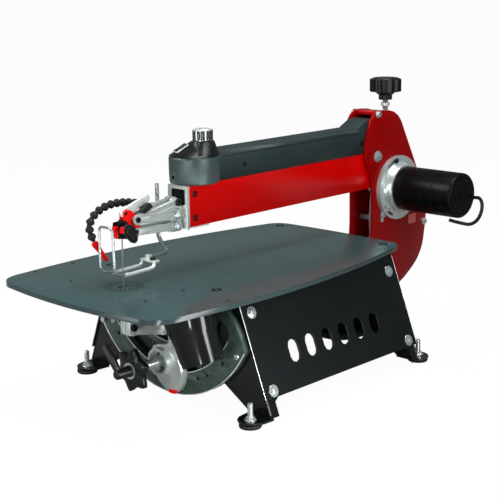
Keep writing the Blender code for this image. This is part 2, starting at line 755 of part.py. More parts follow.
rocker_loop = hull((*UPPER_ROD_REAR, 6), (*REAR_PIVOT, 12), (*LOWER_ROD_REAR, 6), count=18)
rocker = plate([rocker_loop], 4.2, 9.2, "x")
join(rocker, pin("x", *REAR_PIVOT, -24.4, 24.4, 5.0, 14))
for at, r in ((UPPER_ROD_REAR, 2.6), (LOWER_ROD_REAR, 2.6), (DRIVE_PIN, 3.0)):
    join(rocker, pin("x", *at, -5.0, 5.0, r, 12))
node("rear_rocker", rocker, "steel", rear_rocker)

strap_loop = hull((*MOTOR_AXIS, 19), (*DRIVE_PIN, 7))
strap_holes = [circle(*MOTOR_AXIS, 15.1), circle(*DRIVE_PIN, 3.4, 10)]
node("connecting_rod", plate([strap_loop] + strap_holes, -3.4, 3.4, "x"), "silver", con_rod)


def push_rod(y, z):
    """A bar from the rocker's pin back to the rear rocker, with an eye at each end."""
    bar = rod((0, y + 5.4, z), (0, REAR_Y - 5.4, z), 2.9, 12)
    for eye_y in (y, REAR_Y):
        join(bar, plate([circle(eye_y, z, 7.0, 12), circle(eye_y, z, 4.3, 10)], *EYE_X, "x"))
    return bar


node("upper_push_rod", push_rod(*UPPER_ROD_PIN), "steel", upper_push)
node("lower_push_rod", push_rod(*LOWER_ROD_PIN), "steel", lower_push)

# ---- height screw -------------------------------------------------------------------------
# (radius, z) profiles
KNOB_CAP = [(0, 249.2), (20, 249.2), (23, 247.5), (23, 225), (0, 225)]
KNOB_HUB = [(0, 226), (17, 225), (11, 219), (10, 212), (0, 212)]

knob = plate([shifted(fluted(27.5, 3.2, flutes=8, per=5), 0, SCREW_Y)], 224, 248, "z")
join(knob, *[moved(turned(profile, 16), 0, SCREW_Y) for profile in (KNOB_CAP, KNOB_HUB)])
join(knob, pin("z", 0, SCREW_Y, 129.9, 213, 5.0))
node("height_knob", knob, "plastic", height_axis)

# ---- upper arm ----------------------------------------------------------------------------
COVER_SECTION = [  # (x, z)
    (-20, 129.3), (20, 129.3), (20, 166.5), (15.5, 172.5),
    (11, 174), (-11, 174), (-15.5, 172.5), (-20, 166.5),
]
COVER_TAIL = [(498, 129.6), (534, 129.6), (534, 186), (520, 184), (498, 173.6)]  # (y, z)

tube_arm = box(-ARM_X, ARM_X, ARM_Y0, ARM_Y1, ARM_Z0, ARM_Z1)
cut(
    tube_arm,
    box(-17, 17, ARM_Y0 - 5, ARM_Y1 + 5, ARM_Z0 + 3, ARM_Z1 - 3),
    box(-30, 30, 536, ARM_Y1 + 10, ARM_Z0 - 10, 95),
    pin("x", *ARM_PIVOT, -40, 40, 6.3),
)
node("upper_arm", tube_arm, "red", arm)

cover = plate([COVER_SECTION], 150, 500, "y")
join(cover, plate([COVER_TAIL], -19.7, 19.7, "x"))
cut(cover, pin("z", *DOME_AT, 120, 190, 37.9, 24), box(-17, 17, 186, 528, 125, 169))
node("arm_cover", cover, "cover", arm)

casting = box(-ARM_X, ARM_X, 106.5, ARM_Y0 - GAP, 66, 128.9)
join(
    casting,
    box(-5.5, 5.5, 88, 108, 63.5, 97.0),
    box(-29.4, -18.6, 75.4, 111.2, 92.8, 103.2),
    box(-30, -10.8, 74.5, 86.9, 92, 104),
    *pivot_pins(UPPER_PIVOT, UPPER_LINK_PIVOT, 10.7),
)
for side, _ in SIDES:
    for at, r in ((UPPER_PIVOT, 7.0), (UPPER_LINK_PIVOT, 5.5)):
        join(casting, pin("x", *at, *span(side, 10.6, 14.2), r, 6))
cut(casting, pin("y", 0, UPPER_ROD_PIN[1], 95, 120, 6.2, 14), pin("z", *STEM, 85, 110, 3.4, 14))
node("arm_front_casting", casting, "silver", arm)

# ---- control head -------------------------------------------------------------------------
DOME = [(0, 169), (35.5, 169), (37.5, 167), (37.5, 131.5), (36.5, 129.4), (0, 129.4)]  # (r, z)
CAP_Z0, CAP_Z1 = 169.3, 187.8
CAP_R0, CAP_R1 = 37, 17  # radius at the base and at the top
SWITCH_ANGLE = math.radians(248)  # round the cap, from +x
SWITCH_SECTION = [(-8.8, -4.0), (8.8, -4.0), (8.8, 2.6), (0, 1.0), (-8.8, 3.6)]
DIAL_TOP = [(0, 206), (10, 206), (13.2, 204.6), (13.2, 203), (0, 203)]  # (r, z)


def leaning_cap():
    """A cone whose top is set back from its base."""
    cap = frustum(CAP_R0, CAP_R1, CAP_Z1 - CAP_Z0, 28)
    for vert in cap.data.vertices:
        center = CAP_TOP if vert.co.z > 0 else DOME_AT
        vert.co += Vector((*center, (CAP_Z0 + CAP_Z1) / 2)) * MM
    cap.data.update()
    return cap


# The switch sits on the sloping front left of the cap: its frame runs up the slope, across it
# and out of it.
slope_low = Vector((*plus(DOME_AT, polar(CAP_R0, SWITCH_ANGLE)), CAP_Z0))
slope_high = Vector((*plus(CAP_TOP, polar(CAP_R1, SWITCH_ANGLE)), CAP_Z1))
up_slope = (slope_high - slope_low).normalized()
across = Vector((-math.sin(SWITCH_ANGLE), math.cos(SWITCH_ANGLE), 0))
outward = across.cross(up_slope).normalized()
switch_at = slope_low.lerp(slope_high, 0.5)
switch_turn = Matrix((up_slope, -across, outward)).transposed().to_4x4()
switch_frame = Matrix.Translation(switch_at * MM) @ switch_turn

node("control_head", moved(turned(DOME, 28), *DOME_AT), "cover", arm)
switch_recess = reshape(box(-10.4, 10.4, -7.4, 7.4, -7, 12), switch_frame)
node("control_cap", cut(leaning_cap(), switch_recess), "plastic", arm)
switch_axis = empty("power_switch_rock", arm, tuple(switch_at - outward * 1.5))
button = reshape(plate([SWITCH_SECTION], -6.4, 6.4, "y"), switch_frame)
node("power_switch", button, "plastic", switch_axis)

dial = plate([shifted(fluted(15.2, 1.3, flutes=14, per=4), *CAP_TOP)], 188.4, 204, "z")
join(dial, moved(turned(DIAL_TOP, 16), *CAP_TOP))
node("speed_knob", dial, "plastic", speed_axis)

# ---- front linkages -----------------------------------------------------------------------
CHEEK_X = (6.2, 10.2)  # inner and outer face of each bar of a rocker or link


def bar_pair(loop, hole, *pins):
    """Two like bars either side of the middle, held together by cross pins (y, z, r)."""
    bars = plate([loop, hole], *CHEEK_X, "x")
    join(bars, plate([loop, hole], *span(-1, *CHEEK_X), "x"))
    for y, z, r in pins:
        join(bars, pin("x", y, z, -7, 7, r, 8))
    return bars


def bell_crank(pivot, front, rod_pin, r_pivot):
    loop = hull((*pivot, r_pivot), (*front, 6.0), (*rod_pin, 5.6), count=14)
    return bar_pair(loop, circle(*pivot, 5.1, 10), (*front, 3.0), (*rod_pin, 3.0))


def parallel_link(pivot, front):
    loop = hull((*pivot, 6.0), (*front, 5.0), count=12)
    return bar_pair(loop, circle(*pivot, 4.1, 10), (*front, 2.6))


upper_crank = bell_crank(UPPER_PIVOT, UPPER_FRONT, UPPER_ROD_PIN, 8.0)
node("upper_rocker", upper_crank, "silver", upper_rocker)
node("upper_link", parallel_link(UPPER_LINK_PIVOT, UPPER_LINK_FRONT), "silver", upper_link)
lower_crank = bell_crank(LOWER_PIVOT, LOWER_FRONT, LOWER_ROD_PIN, 7.6)
node("lower_rocker", lower_crank, "silver", lower_rocker)
node("lower_link", parallel_link(LOWER_LINK_PIVOT, LOWER_LINK_FRONT), "silver", lower_link)

# ---- blade and its holders ----------------------------------------------------------------
# (y, z) outlines
UPPER_BODY = [
    (12, 66), (22, 64.5), (28, 71), (28.5, 92), (24, 99), (18, 98.6),
    (13, 95.8), (2, 95.6), (-2, 93), (5, 86), (9, 78),
]
LEVER_CHEEK = [
    (1.2, 94), (14, 94), (16.4, 97.7), (24.2, 97.9),
    (13, 107.2), (6.7, 108.6), (2.6, 107.4), (1.2, 104.6),
]
LOWER_BODY = [(8, -74), (27, -74), (28, -66), (28, -48), (25, -43), (10, -43), (8, -48)]


def blade_holder(front, link_pin, outline, half, block, slot, screw_at):
    """A body hung on the two link pins, with a slotted block that grips the blade. The block,
    half wide to each side, is (y0, y1, z0, z1); the slot is a box."""
    body = plate([outline, circle(*front, 3.4, 10), circle(*link_pin, 3.0, 10)], -5.8, 5.8, "x")
    join(body, box(-half, half, *block))
    return cut(body, box(*slot), pin("x", *screw_at, 0.95, half + 4, 2.9, 12))


upper_body = blade_holder(
    UPPER_FRONT, UPPER_LINK_FRONT, UPPER_BODY, half=5.7, block=(-11, 10, 70, 85),
    slot=(-0.55, 0.55, -20, 6, 60, 79.5), screw_at=UPPER_CLAMP,
)
for side, _ in SIDES:
    join(upper_body, plate([LEVER_CHEEK], *span(side, 2.7, 5.6), "x"))
join(upper_body, pin("x", *LEVER_PIVOT, -4, 4, 1.9, 10))
node("upper_blade_holder", upper_body, "clamp_red", upper_holder)

lower_body = blade_holder(
    LOWER_FRONT, LOWER_LINK_FRONT, LOWER_BODY, half=10.0, block=(-0.5, 11, -71, -50),
    slot=(-0.9, 0.9, -20, 4.6, -66.5, -40), screw_at=LOWER_CLAMP,
)
node("lower_blade_holder", lower_body, "silver", lower_holder)

node("blade", box(-0.25, 0.25, -1.1, 1.1, -58, 79), "steel", upper_holder)

tension_loop = hull((*LEVER_PIVOT, 6.6), (46.5, 118.5, 5.8), count=16)
tension = plate([tension_loop, circle(*LEVER_PIVOT, 2.2, 12)], -2.4, 2.4, "x")
node("tension_lever", tension, "silver", lever_axis)

wing = plate([hull((1.5, 80.5, 9.5), (-4, 83, 8), (8, 69, 6.2), count=18)], 10.8, 21, "x")
join(wing, pin("x", *UPPER_CLAMP, 1.3, 11.5, 2.6, 12), pin("x", *UPPER_CLAMP, 7.5, 12.0, 8.0))
node("upper_clamp_knob", wing, "plastic", upper_clamp)

wheel = plate([shifted(fluted(5.2, 1.2, flutes=8, per=5), *LOWER_CLAMP)], 10.5, 16, "x")
join(wheel, pin("x", *LOWER_CLAMP, 1.3, 11.5, 2.6, 12))
node("lower_clamp_knob", wheel, "steel", lower_clamp)

# ---- hold-down and air nozzle -------------------------------------------------------------
# (x, y, z) paths
HOLD_DOWN_ROD = [
    (*STEM, 134), (*STEM, 56), (-14.6, 86, 47), (-14, 93, 37),
    (-12.5, 94, 33), (-10, 88, 31.8), (-7, 73, 31.8), (-4.2, 57.5, 32.2),
]
GUARD = [
    (-12.2, -3, 20.5), (-14.5, -20, 22.5), (-16.6, -25.5, 27), (-17.2, -26, 34),
    (-17.2, -26, 82), (-13, -26, 87.5), (7.5, -26, 88), (11.6, -26, 82),
    (12.6, -25.5, 27), (12.4, -20, 21.5), (12.2, -3, 20),
]
AIR_HOSE = [
    (-24, 73.9, 98), (-24, 69, 98), (-26, 62, 103), (-28, 53, 107.5), (-28, 37, 111),
    (-28, 20, 112.8), (-28, 4.5, 112.5), (-28, -8, 109.9), (-28, -20.8, 104.6),
    (-28, -29.5, 97), (-28, -34, 88), (-28, -33, 78), (-28, -28.4, 66.8),
]
PRONG = [(-6, 18.9), (40.5, 20.4), (46.4, 23.6), (47.0, 28.8)]  # (y, z)

node("hold_down_rod", tube(HOLD_DOWN_ROD, 3.0), "steel", hold_down)

fork = plate([[(-15.6, 43.5), (15.6, 43.5), (15.6, 56), (-15.6, 56)]], 27.2, 30.2, "z")
for x in (-12.6, 12.6):
    join(fork, tube([(x, y, z) for y, z in PRONG], 2.8, 1))
join(fork, box(-8, 0, 48.6, 55.2, 28, 36), tube(GUARD, 1.6, 1))
node("hold_down_foot", fork, "silver", foot_axis)

node("air_hose", tube(AIR_HOSE, 5.6, 1), "rubber", arm)
nozzle = rod((-27.3, -27.0, 62.6), (-27, -6, 34.1), 5.0, 16, 2.4)
node("air_nozzle", nozzle, "clamp_red", arm)
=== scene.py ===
"""A scroll saw on its stand, dressed over its CAD pieces.

Shapes are drawn in millimetres in the blade frame: the blade stands at x = y = 0, the table top
is z = 0, +x is right, -y is the front and +z is up. DATUM carries them to the scene, in metres,
with the feet on z = 0.
"""
import math

import bmesh
import bpy
from mathutils import Matrix, Vector

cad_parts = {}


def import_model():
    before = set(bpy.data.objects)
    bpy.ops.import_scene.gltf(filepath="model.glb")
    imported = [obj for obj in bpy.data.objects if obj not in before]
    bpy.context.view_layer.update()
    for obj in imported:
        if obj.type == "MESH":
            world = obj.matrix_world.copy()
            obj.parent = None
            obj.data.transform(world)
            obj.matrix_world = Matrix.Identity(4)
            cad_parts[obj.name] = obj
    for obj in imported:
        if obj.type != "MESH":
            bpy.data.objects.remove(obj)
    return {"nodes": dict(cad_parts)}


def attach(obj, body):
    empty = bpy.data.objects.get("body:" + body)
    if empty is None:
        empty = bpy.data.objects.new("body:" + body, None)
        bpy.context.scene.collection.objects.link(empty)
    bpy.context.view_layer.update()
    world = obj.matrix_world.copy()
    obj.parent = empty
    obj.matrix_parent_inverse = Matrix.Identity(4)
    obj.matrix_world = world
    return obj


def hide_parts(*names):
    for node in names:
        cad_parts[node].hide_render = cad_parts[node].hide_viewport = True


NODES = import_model()["nodes"]
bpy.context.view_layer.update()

# ---------------------------------------------------------------- driving dimensions (mm)
METRES = 0.001  # metres in a millimetre
SHIFT_Y = -289.65  # from the blade to the scene origin
FLOOR_Z = -183.0
DATUM = (
    Matrix.Translation(Vector((0, SHIFT_Y, -FLOOR_Z)) * METRES)
    @ Matrix.Diagonal((METRES, METRES, METRES, 1))
)
SIDES = ((1, "right"), (-1, "left"))  # sign of x, name
ENDS = ("front", "rear")

MOTOR_Y, MOTOR_Z = 596.0, 63.0
ARM_PIVOT = (543.0, 122.0)  # y, z
TILT_KNOB_Z = -126.0
CASTING_FRONT_Y = 106.45
CONTROL_HEAD_Y = 142
SPEED_KNOB_Y = 160

# upper linkage joints: y, z
ROCKER_PIVOT, ROD_PIN, ROCKER_TIP = (98.0, 89.4), (98.0, 107.0), (20.0, 93.0)
LINK_PIVOT, LINK_TIP = (96.0, 72.4), (18.0, 76.0)


# ---------------------------------------------------------------- materials
def linear(rgb):
    """Linear RGBA from 8-bit sRGB."""
    def channel(value):
        return value / 12.92 if value <= 0.04045 else ((value + 0.055) / 1.055) ** 2.4

    return tuple(channel(value / 255) for value in rgb) + (1.0,)


def add_node(tree, kind, inputs=None, **settings):
    """A shader node; its settings come first, since they decide which inputs it has."""
    node = tree.nodes.new("ShaderNode" + kind)
    for key, value in settings.items():
        setattr(node, key, value)
    for key, value in (inputs or {}).items():
        node.inputs[key].default_value = value
    return node


def add_ramp(tree, low, high, ends=(0.0, 1.0)):
    node = add_node(tree, "ValToRGB")
    for element, position, color in zip(node.color_ramp.elements, ends, (low, high)):
        element.position = position
        element.color = color
    return node


def link(source, output, target, entry):
    source.id_data.links.new(source.outputs[output], target.inputs[entry])


def new_material(name):
    material = bpy.data.materials.new(name)
    material.use_nodes = True
    tree = material.node_tree
    return material, tree, tree.nodes["Principled BSDF"]


ROUGH_SPREAD = 0.08  # roughness varies this much either way
BUMP_DISTANCE = 0.0006  # metres
FINISHES = {}


def add_finish(key, name, rgb, rough, slot=None, metal=0.0, spread=0.12, grain=900.0, bump=0.03,
               coat=0.0, stretch=(1, 1, 1), specular=0.5, mottle=14.0, edge=None):
    """Broad mottling of the colour, fine grain in roughness and height.

    spread is the share by which the colour varies; mottle and grain are noise scales; stretch
    scales the grain on each axis; edge is a second colour for the painted shade on faces that don't
    point up.
    """
    color = linear(rgb)[:3]
    material, tree, shader = new_material(name)
    coord = add_node(tree, "TexCoord")
    mapping = add_node(tree, "Mapping", {"Scale": stretch})
    link(coord, "Object", mapping, "Vector")
    coarse = add_node(tree, "TexNoise", {"Scale": mottle, "Detail": 6.0})
    link(coord, "Object", coarse, "Vector")
    fine = add_node(tree, "TexNoise", {"Scale": grain, "Detail": 3.0})
    link(mapping, "Vector", fine, "Vector")
    dark = tuple(c * (1 - spread) for c in color) + (1,)
    light = tuple(min(1.0, c * (1 + spread)) for c in color) + (1,)
    ramp = add_ramp(tree, dark, light, ends=(0.3, 0.7))
    link(coarse, "Fac", ramp, "Fac")
    speck = add_node(tree, "Mix", {"Factor": spread}, data_type="RGBA", blend_type="MULTIPLY")
    link(ramp, "Color", speck, "A")
    link(fine, "Fac", speck, "B")
    tint = speck
    # painted shade: faces that don't point up take the edge colour, blended in as the normal's z
    # drops from 0.97 to 0.55
    if edge:
        geometry = add_node(tree, "NewGeometry")
        split = add_node(tree, "SeparateXYZ")
        link(geometry, "Normal", split, "Vector")
        level = add_node(tree, "MapRange", {"From Min": 0.55, "From Max": 0.97})
        link(split, "Z", level, "Value")
        tint = add_node(tree, "Mix", {"A": linear(edge)}, data_type="RGBA")
        link(level, "Result", tint, "Factor")
        link(speck, "Result", tint, "B")
    link(tint, "Result", shader, "Base Color")
    rough_range = {
        "To Min": max(0.02, rough - ROUGH_SPREAD),
        "To Max": min(1.0, rough + ROUGH_SPREAD),
    }
    rough_map = add_node(tree, "MapRange", rough_range)
    link(fine, "Fac", rough_map, "Value")
    link(rough_map, "Result", shader, "Roughness")
    relief = add_node(tree, "Bump", {"Strength": bump, "Distance": BUMP_DISTANCE})
    link(fine, "Fac", relief, "Height")
    link(relief, "Normal", shader, "Normal")
    shader.inputs["Metallic"].default_value = metal
    shader.inputs["Specular IOR Level"].default_value = specular
    shader.inputs["Coat Weight"].default_value = coat
    shader.inputs["Coat Roughness"].default_value = 0.06
    FINISHES[key] = (material, slot or key)


# the table's slate paint, with a darker edge colour on its sides as painted shade
add_finish("slate", "slate_paint", (52, 75, 76), rough=0.22, spread=0.05, grain=2600,
           specular=0.26, edge=(42, 57, 58))
add_finish("black_steel", "gloss_black_paint", (8, 11, 12), rough=0.18, grain=1500, bump=0.05,
           specular=0.45)
add_finish("panel_black", "panel_black_paint", (17, 21, 22), rough=0.3, slot="black_steel",
           spread=0.10, grain=2200, bump=0.04, specular=0.18)
add_finish("red_paint", "gloss_red_paint", (204, 0, 0), rough=0.28, spread=0.05, grain=1300,
           coat=0.04, specular=0.12)
# a darker copy of the red paint in the same slot: painted shade on the housing plates
add_finish("red_paint_shaded", "red_paint_painted_shade", (140, 0, 0), rough=0.3, slot="red_paint", spread=0.06,
           grain=1300, coat=0.04, specular=0.12)
add_finish("dark_red", "dark_red_paint", (172, 0, 0), rough=0.24, spread=0.08, grain=1200,
           coat=0.1, specular=0.2)
add_finish("cast_silver", "cast_silver_metal", (206, 214, 210), rough=0.3, metal=0.62,
           spread=0.10, grain=1100, bump=0.18, mottle=60)
# a dark, mottled copy of the cast silver in the same slot: painted shade on the trunnion faces
add_finish("trunnion_cast", "trunnion_silver_painted_shade", (78, 95, 86), rough=0.36, slot="cast_silver",
           metal=0.6, spread=0.25, grain=800, bump=0.4, mottle=90)
add_finish("machined", "machined_flange_metal", (208, 218, 218), rough=0.26, slot="cast_silver",
           metal=0.6, spread=0.06, grain=500, bump=0.12, stretch=(12, 1, 1))
add_finish("steel", "bright_steel", (200, 208, 206), rough=0.2, metal=0.75, spread=0.08,
           grain=1500, bump=0.08)
add_finish("wire", "wire_steel", (176, 184, 181), rough=0.2, slot="steel", metal=0.75,
           spread=0.10, grain=1200, bump=0.06)
add_finish("dark_steel", "blackened_steel", (40, 44, 45), rough=0.28, slot="steel", metal=0.9,
           spread=0.2, grain=1300, bump=0.1)
add_finish("chrome", "chrome_trim", (170, 175, 176), rough=0.14, slot="steel", metal=1.0,
           spread=0.08, bump=0.02)
add_finish("black_plastic", "black_plastic", (18, 21, 21), rough=0.34, spread=0.14, grain=1800,
           bump=0.12, specular=0.35)
add_finish("port_plastic", "port_plastic", (5, 8, 7), rough=0.12, slot="black_plastic",
           bump=0.02, specular=0.3)
add_finish("knob_plastic", "knob_plastic", (12, 16, 16), rough=0.3, slot="black_plastic",
           grain=2400, bump=0.1, specular=0.35)
add_finish("cap_black", "cap_black_plastic", (12, 15, 15), rough=0.3, slot="black_plastic",
           grain=2600, bump=0.08, specular=0.25)
add_finish("gunmetal", "gunmetal_texture", (76, 92, 93), rough=0.32, slot="cover_grey",
           metal=0.5, spread=0.14, grain=2600, bump=0.3)
add_finish("cover_grey", "cover_grained_grey", (36, 49, 50), rough=0.42, grain=2400, bump=0.25,
           specular=0.25)
add_finish("rubber", "rubber_black", (14, 16, 16), rough=0.55, spread=0.2, grain=1600, bump=0.3,
           specular=0.3)
add_finish("motor_black", "motor_satin_black", (7, 10, 10), rough=0.34, slot="black_steel",
           spread=0.14, grain=2400, bump=0.1, specular=0.1)
add_finish("red_plastic", "red_plastic", (222, 4, 4), rough=0.3, spread=0.06, grain=1600,
           bump=0.05, coat=0.12, specular=0.2)
add_finish("sticker", "sticker_pale_red", (206, 96, 92), rough=0.42, slot="red_paint",
           spread=0.10, bump=0.02)
# near black: painted shade in holes, slots and recesses, and the own dark colour of seams, marks,
# screws and brush caps
add_finish("hole", "dark_marks_and_painted_hole_shade", (8, 10, 10), rough=0.7, slot="black_steel", spread=0.25,
           grain=1800, bump=0.2, specular=0.1)
# bright polished metal; the same finish draws the painted highlight lines on the panel and trunnion
# edges
add_finish("silver_light", "polished_metal_and_painted_highlight", (228, 235, 233), rough=0.3,
           slot="cast_silver", metal=0.5, spread=0.05, bump=0.06)


def clear_plastic():
    """Greenish see-through plastic for the switch cover."""
    material, tree, shader = new_material("clear_switch_cover")
    noise = add_node(tree, "TexNoise", {"Scale": 260.0})
    ramp = add_ramp(tree, (0.10, 0.13, 0.11, 1), (0.18, 0.22, 0.19, 1))
    link(noise, "Fac", ramp, "Fac")
    link(ramp, "Color", shader, "Base Color")
    rough_map = add_node(tree, "MapRange", {"To Min": 0.04, "To Max": 0.14})
    link(noise, "Fac", rough_map, "Value")
    link(rough_map, "Result", shader, "Roughness")
    shader.inputs["Transmission Weight"].default_value = 0.85
    shader.inputs["IOR"].default_value = 1.35
    return material


FINISHES["clear"] = (clear_plastic(), "cover_grey")


# ---------------------------------------------------------------- outlines
def polar(radius, angle, x=0.0, y=0.0):
    return (x + radius * math.cos(angle), y + radius * math.sin(angle))


def circle(radius, count, x=0.0, y=0.0):
    return [polar(radius, 2 * math.pi * i / count, x, y) for i in range(count)]


def arc(radius, start, end, count, x=0.0, y=0.0):
    """Points from start to end, in degrees."""
    return [
        polar(radius, math.radians(start + (end - start) * i / (count - 1)), x, y)
        for i in range(count)
    ]


def lobes(radius, depth, count, per, sharp=1.0, phase=0.0):
    """A circle with count scallops cut to depth, each drawn with per points."""
    outline = []
    for i in range(count * per):
        angle = 2 * math.pi * i / (count * per)
        reach = radius - depth * (0.5 - 0.5 * math.cos(count * angle)) ** sharp
        outline.append(polar(reach, angle + phase))
    return outline


def hull(*discs):
    """The convex outline round discs given as (x, y, radius)."""
    points = sorted({
        (round(px, 4), round(py, 4)) for x, y, radius in discs for px, py in circle(radius, 64, x, y)
    })

    def chain(some):
        kept = []
        for p in some:
            while len(kept) > 1:
                (ax, ay), (bx, by) = kept[-2:]
                if (bx - ax) * (p[1] - ay) - (by - ay) * (p[0] - ax) > 1e-4:
                    break
                kept.pop()
            kept.append(p)
        return kept[:-1]

    return chain(points) + chain(points[::-1])


def rounded(outline, radius):
    """The polygon with each corner replaced by a quadratic curve in six steps."""
    points = []
    for i, corner in enumerate(outline):
        back, ahead = Vector(outline[i - 1]), Vector(outline[(i + 1) % len(outline)])
        corner = Vector(corner)
        cut_back = min(radius, (back - corner).length * 0.45)
        cut_ahead = min(radius, (ahead - corner).length * 0.45)
        start = corner + (back - corner).normalized() * cut_back
        end = corner + (ahead - corner).normalized() * cut_ahead
        for k in range(7):
            t = k / 6
            point = (1 - t) ** 2 * start + 2 * t * (1 - t) * corner + t * t * end
            points.append((point.x, point.y))
    return points


def rectangle(x0, x1, y0, y1):
    return [(x0, y0), (x1, y0), (x1, y1), (x0, y1)]


def rounded_rect(x0, x1, y0, y1, radius):
    return rounded(rectangle(x0, x1, y0, y1), radius)


def smooth_path(points, per=8):
    """A Catmull-Rom curve through the points, per steps to a span."""
    first = Vector(points[0]) * 2 - Vector(points[1])
    last = Vector(points[-1]) * 2 - Vector(points[-2])
    p = [first] + [Vector(q) for q in points] + [last]
    path = []
    for i in range(1, len(p) - 2):
        for k in range(per):
            t = k / per
            path.append(0.5 * (
                (2 * p[i])
                + (p[i + 1] - p[i - 1]) * t
                + (2 * p[i - 1] - 5 * p[i] + 4 * p[i + 1] - p[i + 2]) * t * t
                + (3 * p[i] - p[i - 1] - 3 * p[i + 1] + p[i + 2]) * t ** 3
            ))
    path.append(p[-2])
    return path


# ---------------------------------------------------------------- solids
def faces_out(work):
    bmesh.ops.recalc_face_normals(work, faces=work.faces)
    return work


def skin(work, rings):
    """Quads between each ring of vertices and the next."""
    for lower, upper in zip(rings, rings[1:]):
        for i in range(len(lower)):
            j = (i + 1) % len(lower)
            work.faces.new((lower[i], lower[j], upper[j], upper[i]))


def lathe(profile, steps=72, closed=False):
    """(radius, height) points turned round z; closed joins the last point to the first."""
    work = bmesh.new()
    rings = []
    for radius, height in profile:
        if radius < 1e-6:
            rings.append([work.verts.new((0, 0, height))])
        else:
            rings.append([work.verts.new((x, y, height)) for x, y in circle(radius, steps)])
    if closed:
        rings.append(rings[0])
    for a, b in zip(rings, rings[1:]):
        for i in range(steps):
            j = (i + 1) % steps
            corners = [a[i % len(a)], a[j % len(a)], b[j % len(b)], b[i % len(b)]]
            unique = list(dict.fromkeys(corners))
            if len(unique) > 2:
                work.faces.new(unique)
    return faces_out(work)


def disc(radius, start, end, steps):
    return lathe([(0, start), (radius, start), (radius, end), (0, end)], steps)


def prism(outline, low, high):
    work = bmesh.new()
    bottom = [work.verts.new((x, y, low)) for x, y in outline]
    top = [work.verts.new((x, y, high)) for x, y in outline]
    work.faces.new(bottom[::-1])
    work.faces.new(top)
    skin(work, [bottom, top])
    return faces_out(work)


def block(x0, x1, y0, y1, z0, z1):
    return prism(rectangle(x0, x1, y0, y1), z0, z1)


def sheet(outlines, low, high):
    """A flat outline with holes, from low to high along z."""
    curve = bpy.data.curves.new("outline", "CURVE")
    curve.dimensions = "2D"
    curve.fill_mode = "BOTH"
    curve.extrude = (high - low) / 2
    for outline in outlines:
        spline = curve.splines.new("POLY")
        spline.points.add(len(outline) - 1)
        for point, (x, y) in zip(spline.points, outline):
            point.co = (x, y, 0, 1)
        spline.use_cyclic_u = True
    obj = bpy.data.objects.new("outline", curve)
    bpy.context.scene.collection.objects.link(obj)
    bpy.context.view_layer.update()
    graph = bpy.context.evaluated_depsgraph_get()
    mesh = bpy.data.meshes.new_from_object(obj.evaluated_get(graph))
    bpy.data.objects.remove(obj, do_unlink=True)
    bpy.data.curves.remove(curve)
    work = bmesh.new()
    work.from_mesh(mesh)
    bpy.data.meshes.remove(mesh)
    bmesh.ops.translate(work, verts=work.verts, vec=(0, 0, (low + high) / 2))
    bmesh.ops.remove_doubles(work, verts=work.verts, dist=1e-3)
    return faces_out(work)


def sweep(points, radius, sides=14, scale=None):
    """A round wire through the points; scale gives a factor for the radius at each one."""
    points = [Vector(p) for p in points]
    work = bmesh.new()
    tangents = []
    for i in range(len(points)):
        behind, ahead = points[max(i - 1, 0)], points[min(i + 1, len(points) - 1)]
        tangents.append((ahead - behind).normalized())
    up = Vector((0, 0, 1)) if abs(tangents[0].z) < 0.9 else Vector((1, 0, 0))
    side = tangents[0].cross(up).normalized()
    rings = []
    for i, (point, tangent) in enumerate(zip(points, tangents)):
        side = (side - tangent * side.dot(tangent)).normalized()
        other = tangent.cross(side)
        reach = radius * (scale[i] if scale else 1.0)
        ring = []
        for k in range(sides):
            angle = 2 * math.pi * k / sides
            way = side * math.cos(angle) + other * math.sin(angle)
            ring.append(work.verts.new(point + way * reach))
        rings.append(ring)
    skin(work, rings)
    work.faces.new(rings[0][::-1])
    work.faces.new(rings[-1])
    return faces_out(work)


def hex_bolt(radius, height, washer, washer_height):
    """A washer, a chamfered hexagon head and its round crown, standing on z = 0."""
    top = washer_height + height
    flat = lathe([
        (0, 0), (washer - 0.3, 0), (washer, 0.3), (washer, washer_height - 0.3),
        (washer - 0.3, washer_height), (0, washer_height),
    ], 40)
    head = prism(circle(radius, 6), washer_height, top)
    rim = [e for e in head.edges if all(v.co.z > top - 0.1 for v in e.verts)]
    bmesh.ops.bevel(head, geom=rim, offset=radius * 0.14, segments=2, affect="EDGES")
    crown = lathe([
        (0, top + 0.35), (radius * 0.62, top + 0.3), (radius * 0.72, top - 0.1), (0, top - 0.1),
    ], 32)
    return [flat, head, crown]


def cap_screw(radius, height, socket, base=0.0):
    """A round head with a hexagon socket (centre to corner), standing on z = base."""
    steps = 36
    top = base + height
    work = lathe([
        (0, base), (radius, base), (radius, top - 0.7), (radius - 0.25, top - 0.2),
        (radius - 0.8, top),
    ], steps)
    outer = [work.verts.new((x, y, top)) for x, y in circle(radius - 0.8, steps)]
    inner = []
    for i in range(steps):
        angle = 2 * math.pi * i / steps
        reach = socket * math.cos(math.pi / 6) / math.cos((angle % (math.pi / 3)) - math.pi / 6)
        inner.append(work.verts.new((*polar(reach, angle), top)))
    floor_z = top - min(2.0, height * 0.7)
    deep = [work.verts.new((v.co.x, v.co.y, floor_z)) for v in inner]
    for i in range(steps):
        j = (i + 1) % steps
        work.faces.new((outer[i], outer[j], inner[j], inner[i]))
        work.faces.new((inner[i], inner[j], deep[j], deep[i]))
    work.faces.new(deep)
    bmesh.ops.remove_doubles(work, verts=work.verts, dist=1e-4)
    return faces_out(work)


# ---------------------------------------------------------------- placing
def axes(x_axis, y_axis, z_axis, origin):
    rows = [(x_axis[i], y_axis[i], z_axis[i], origin[i]) for i in range(3)]
    return Matrix(rows + [(0, 0, 0, 1)])


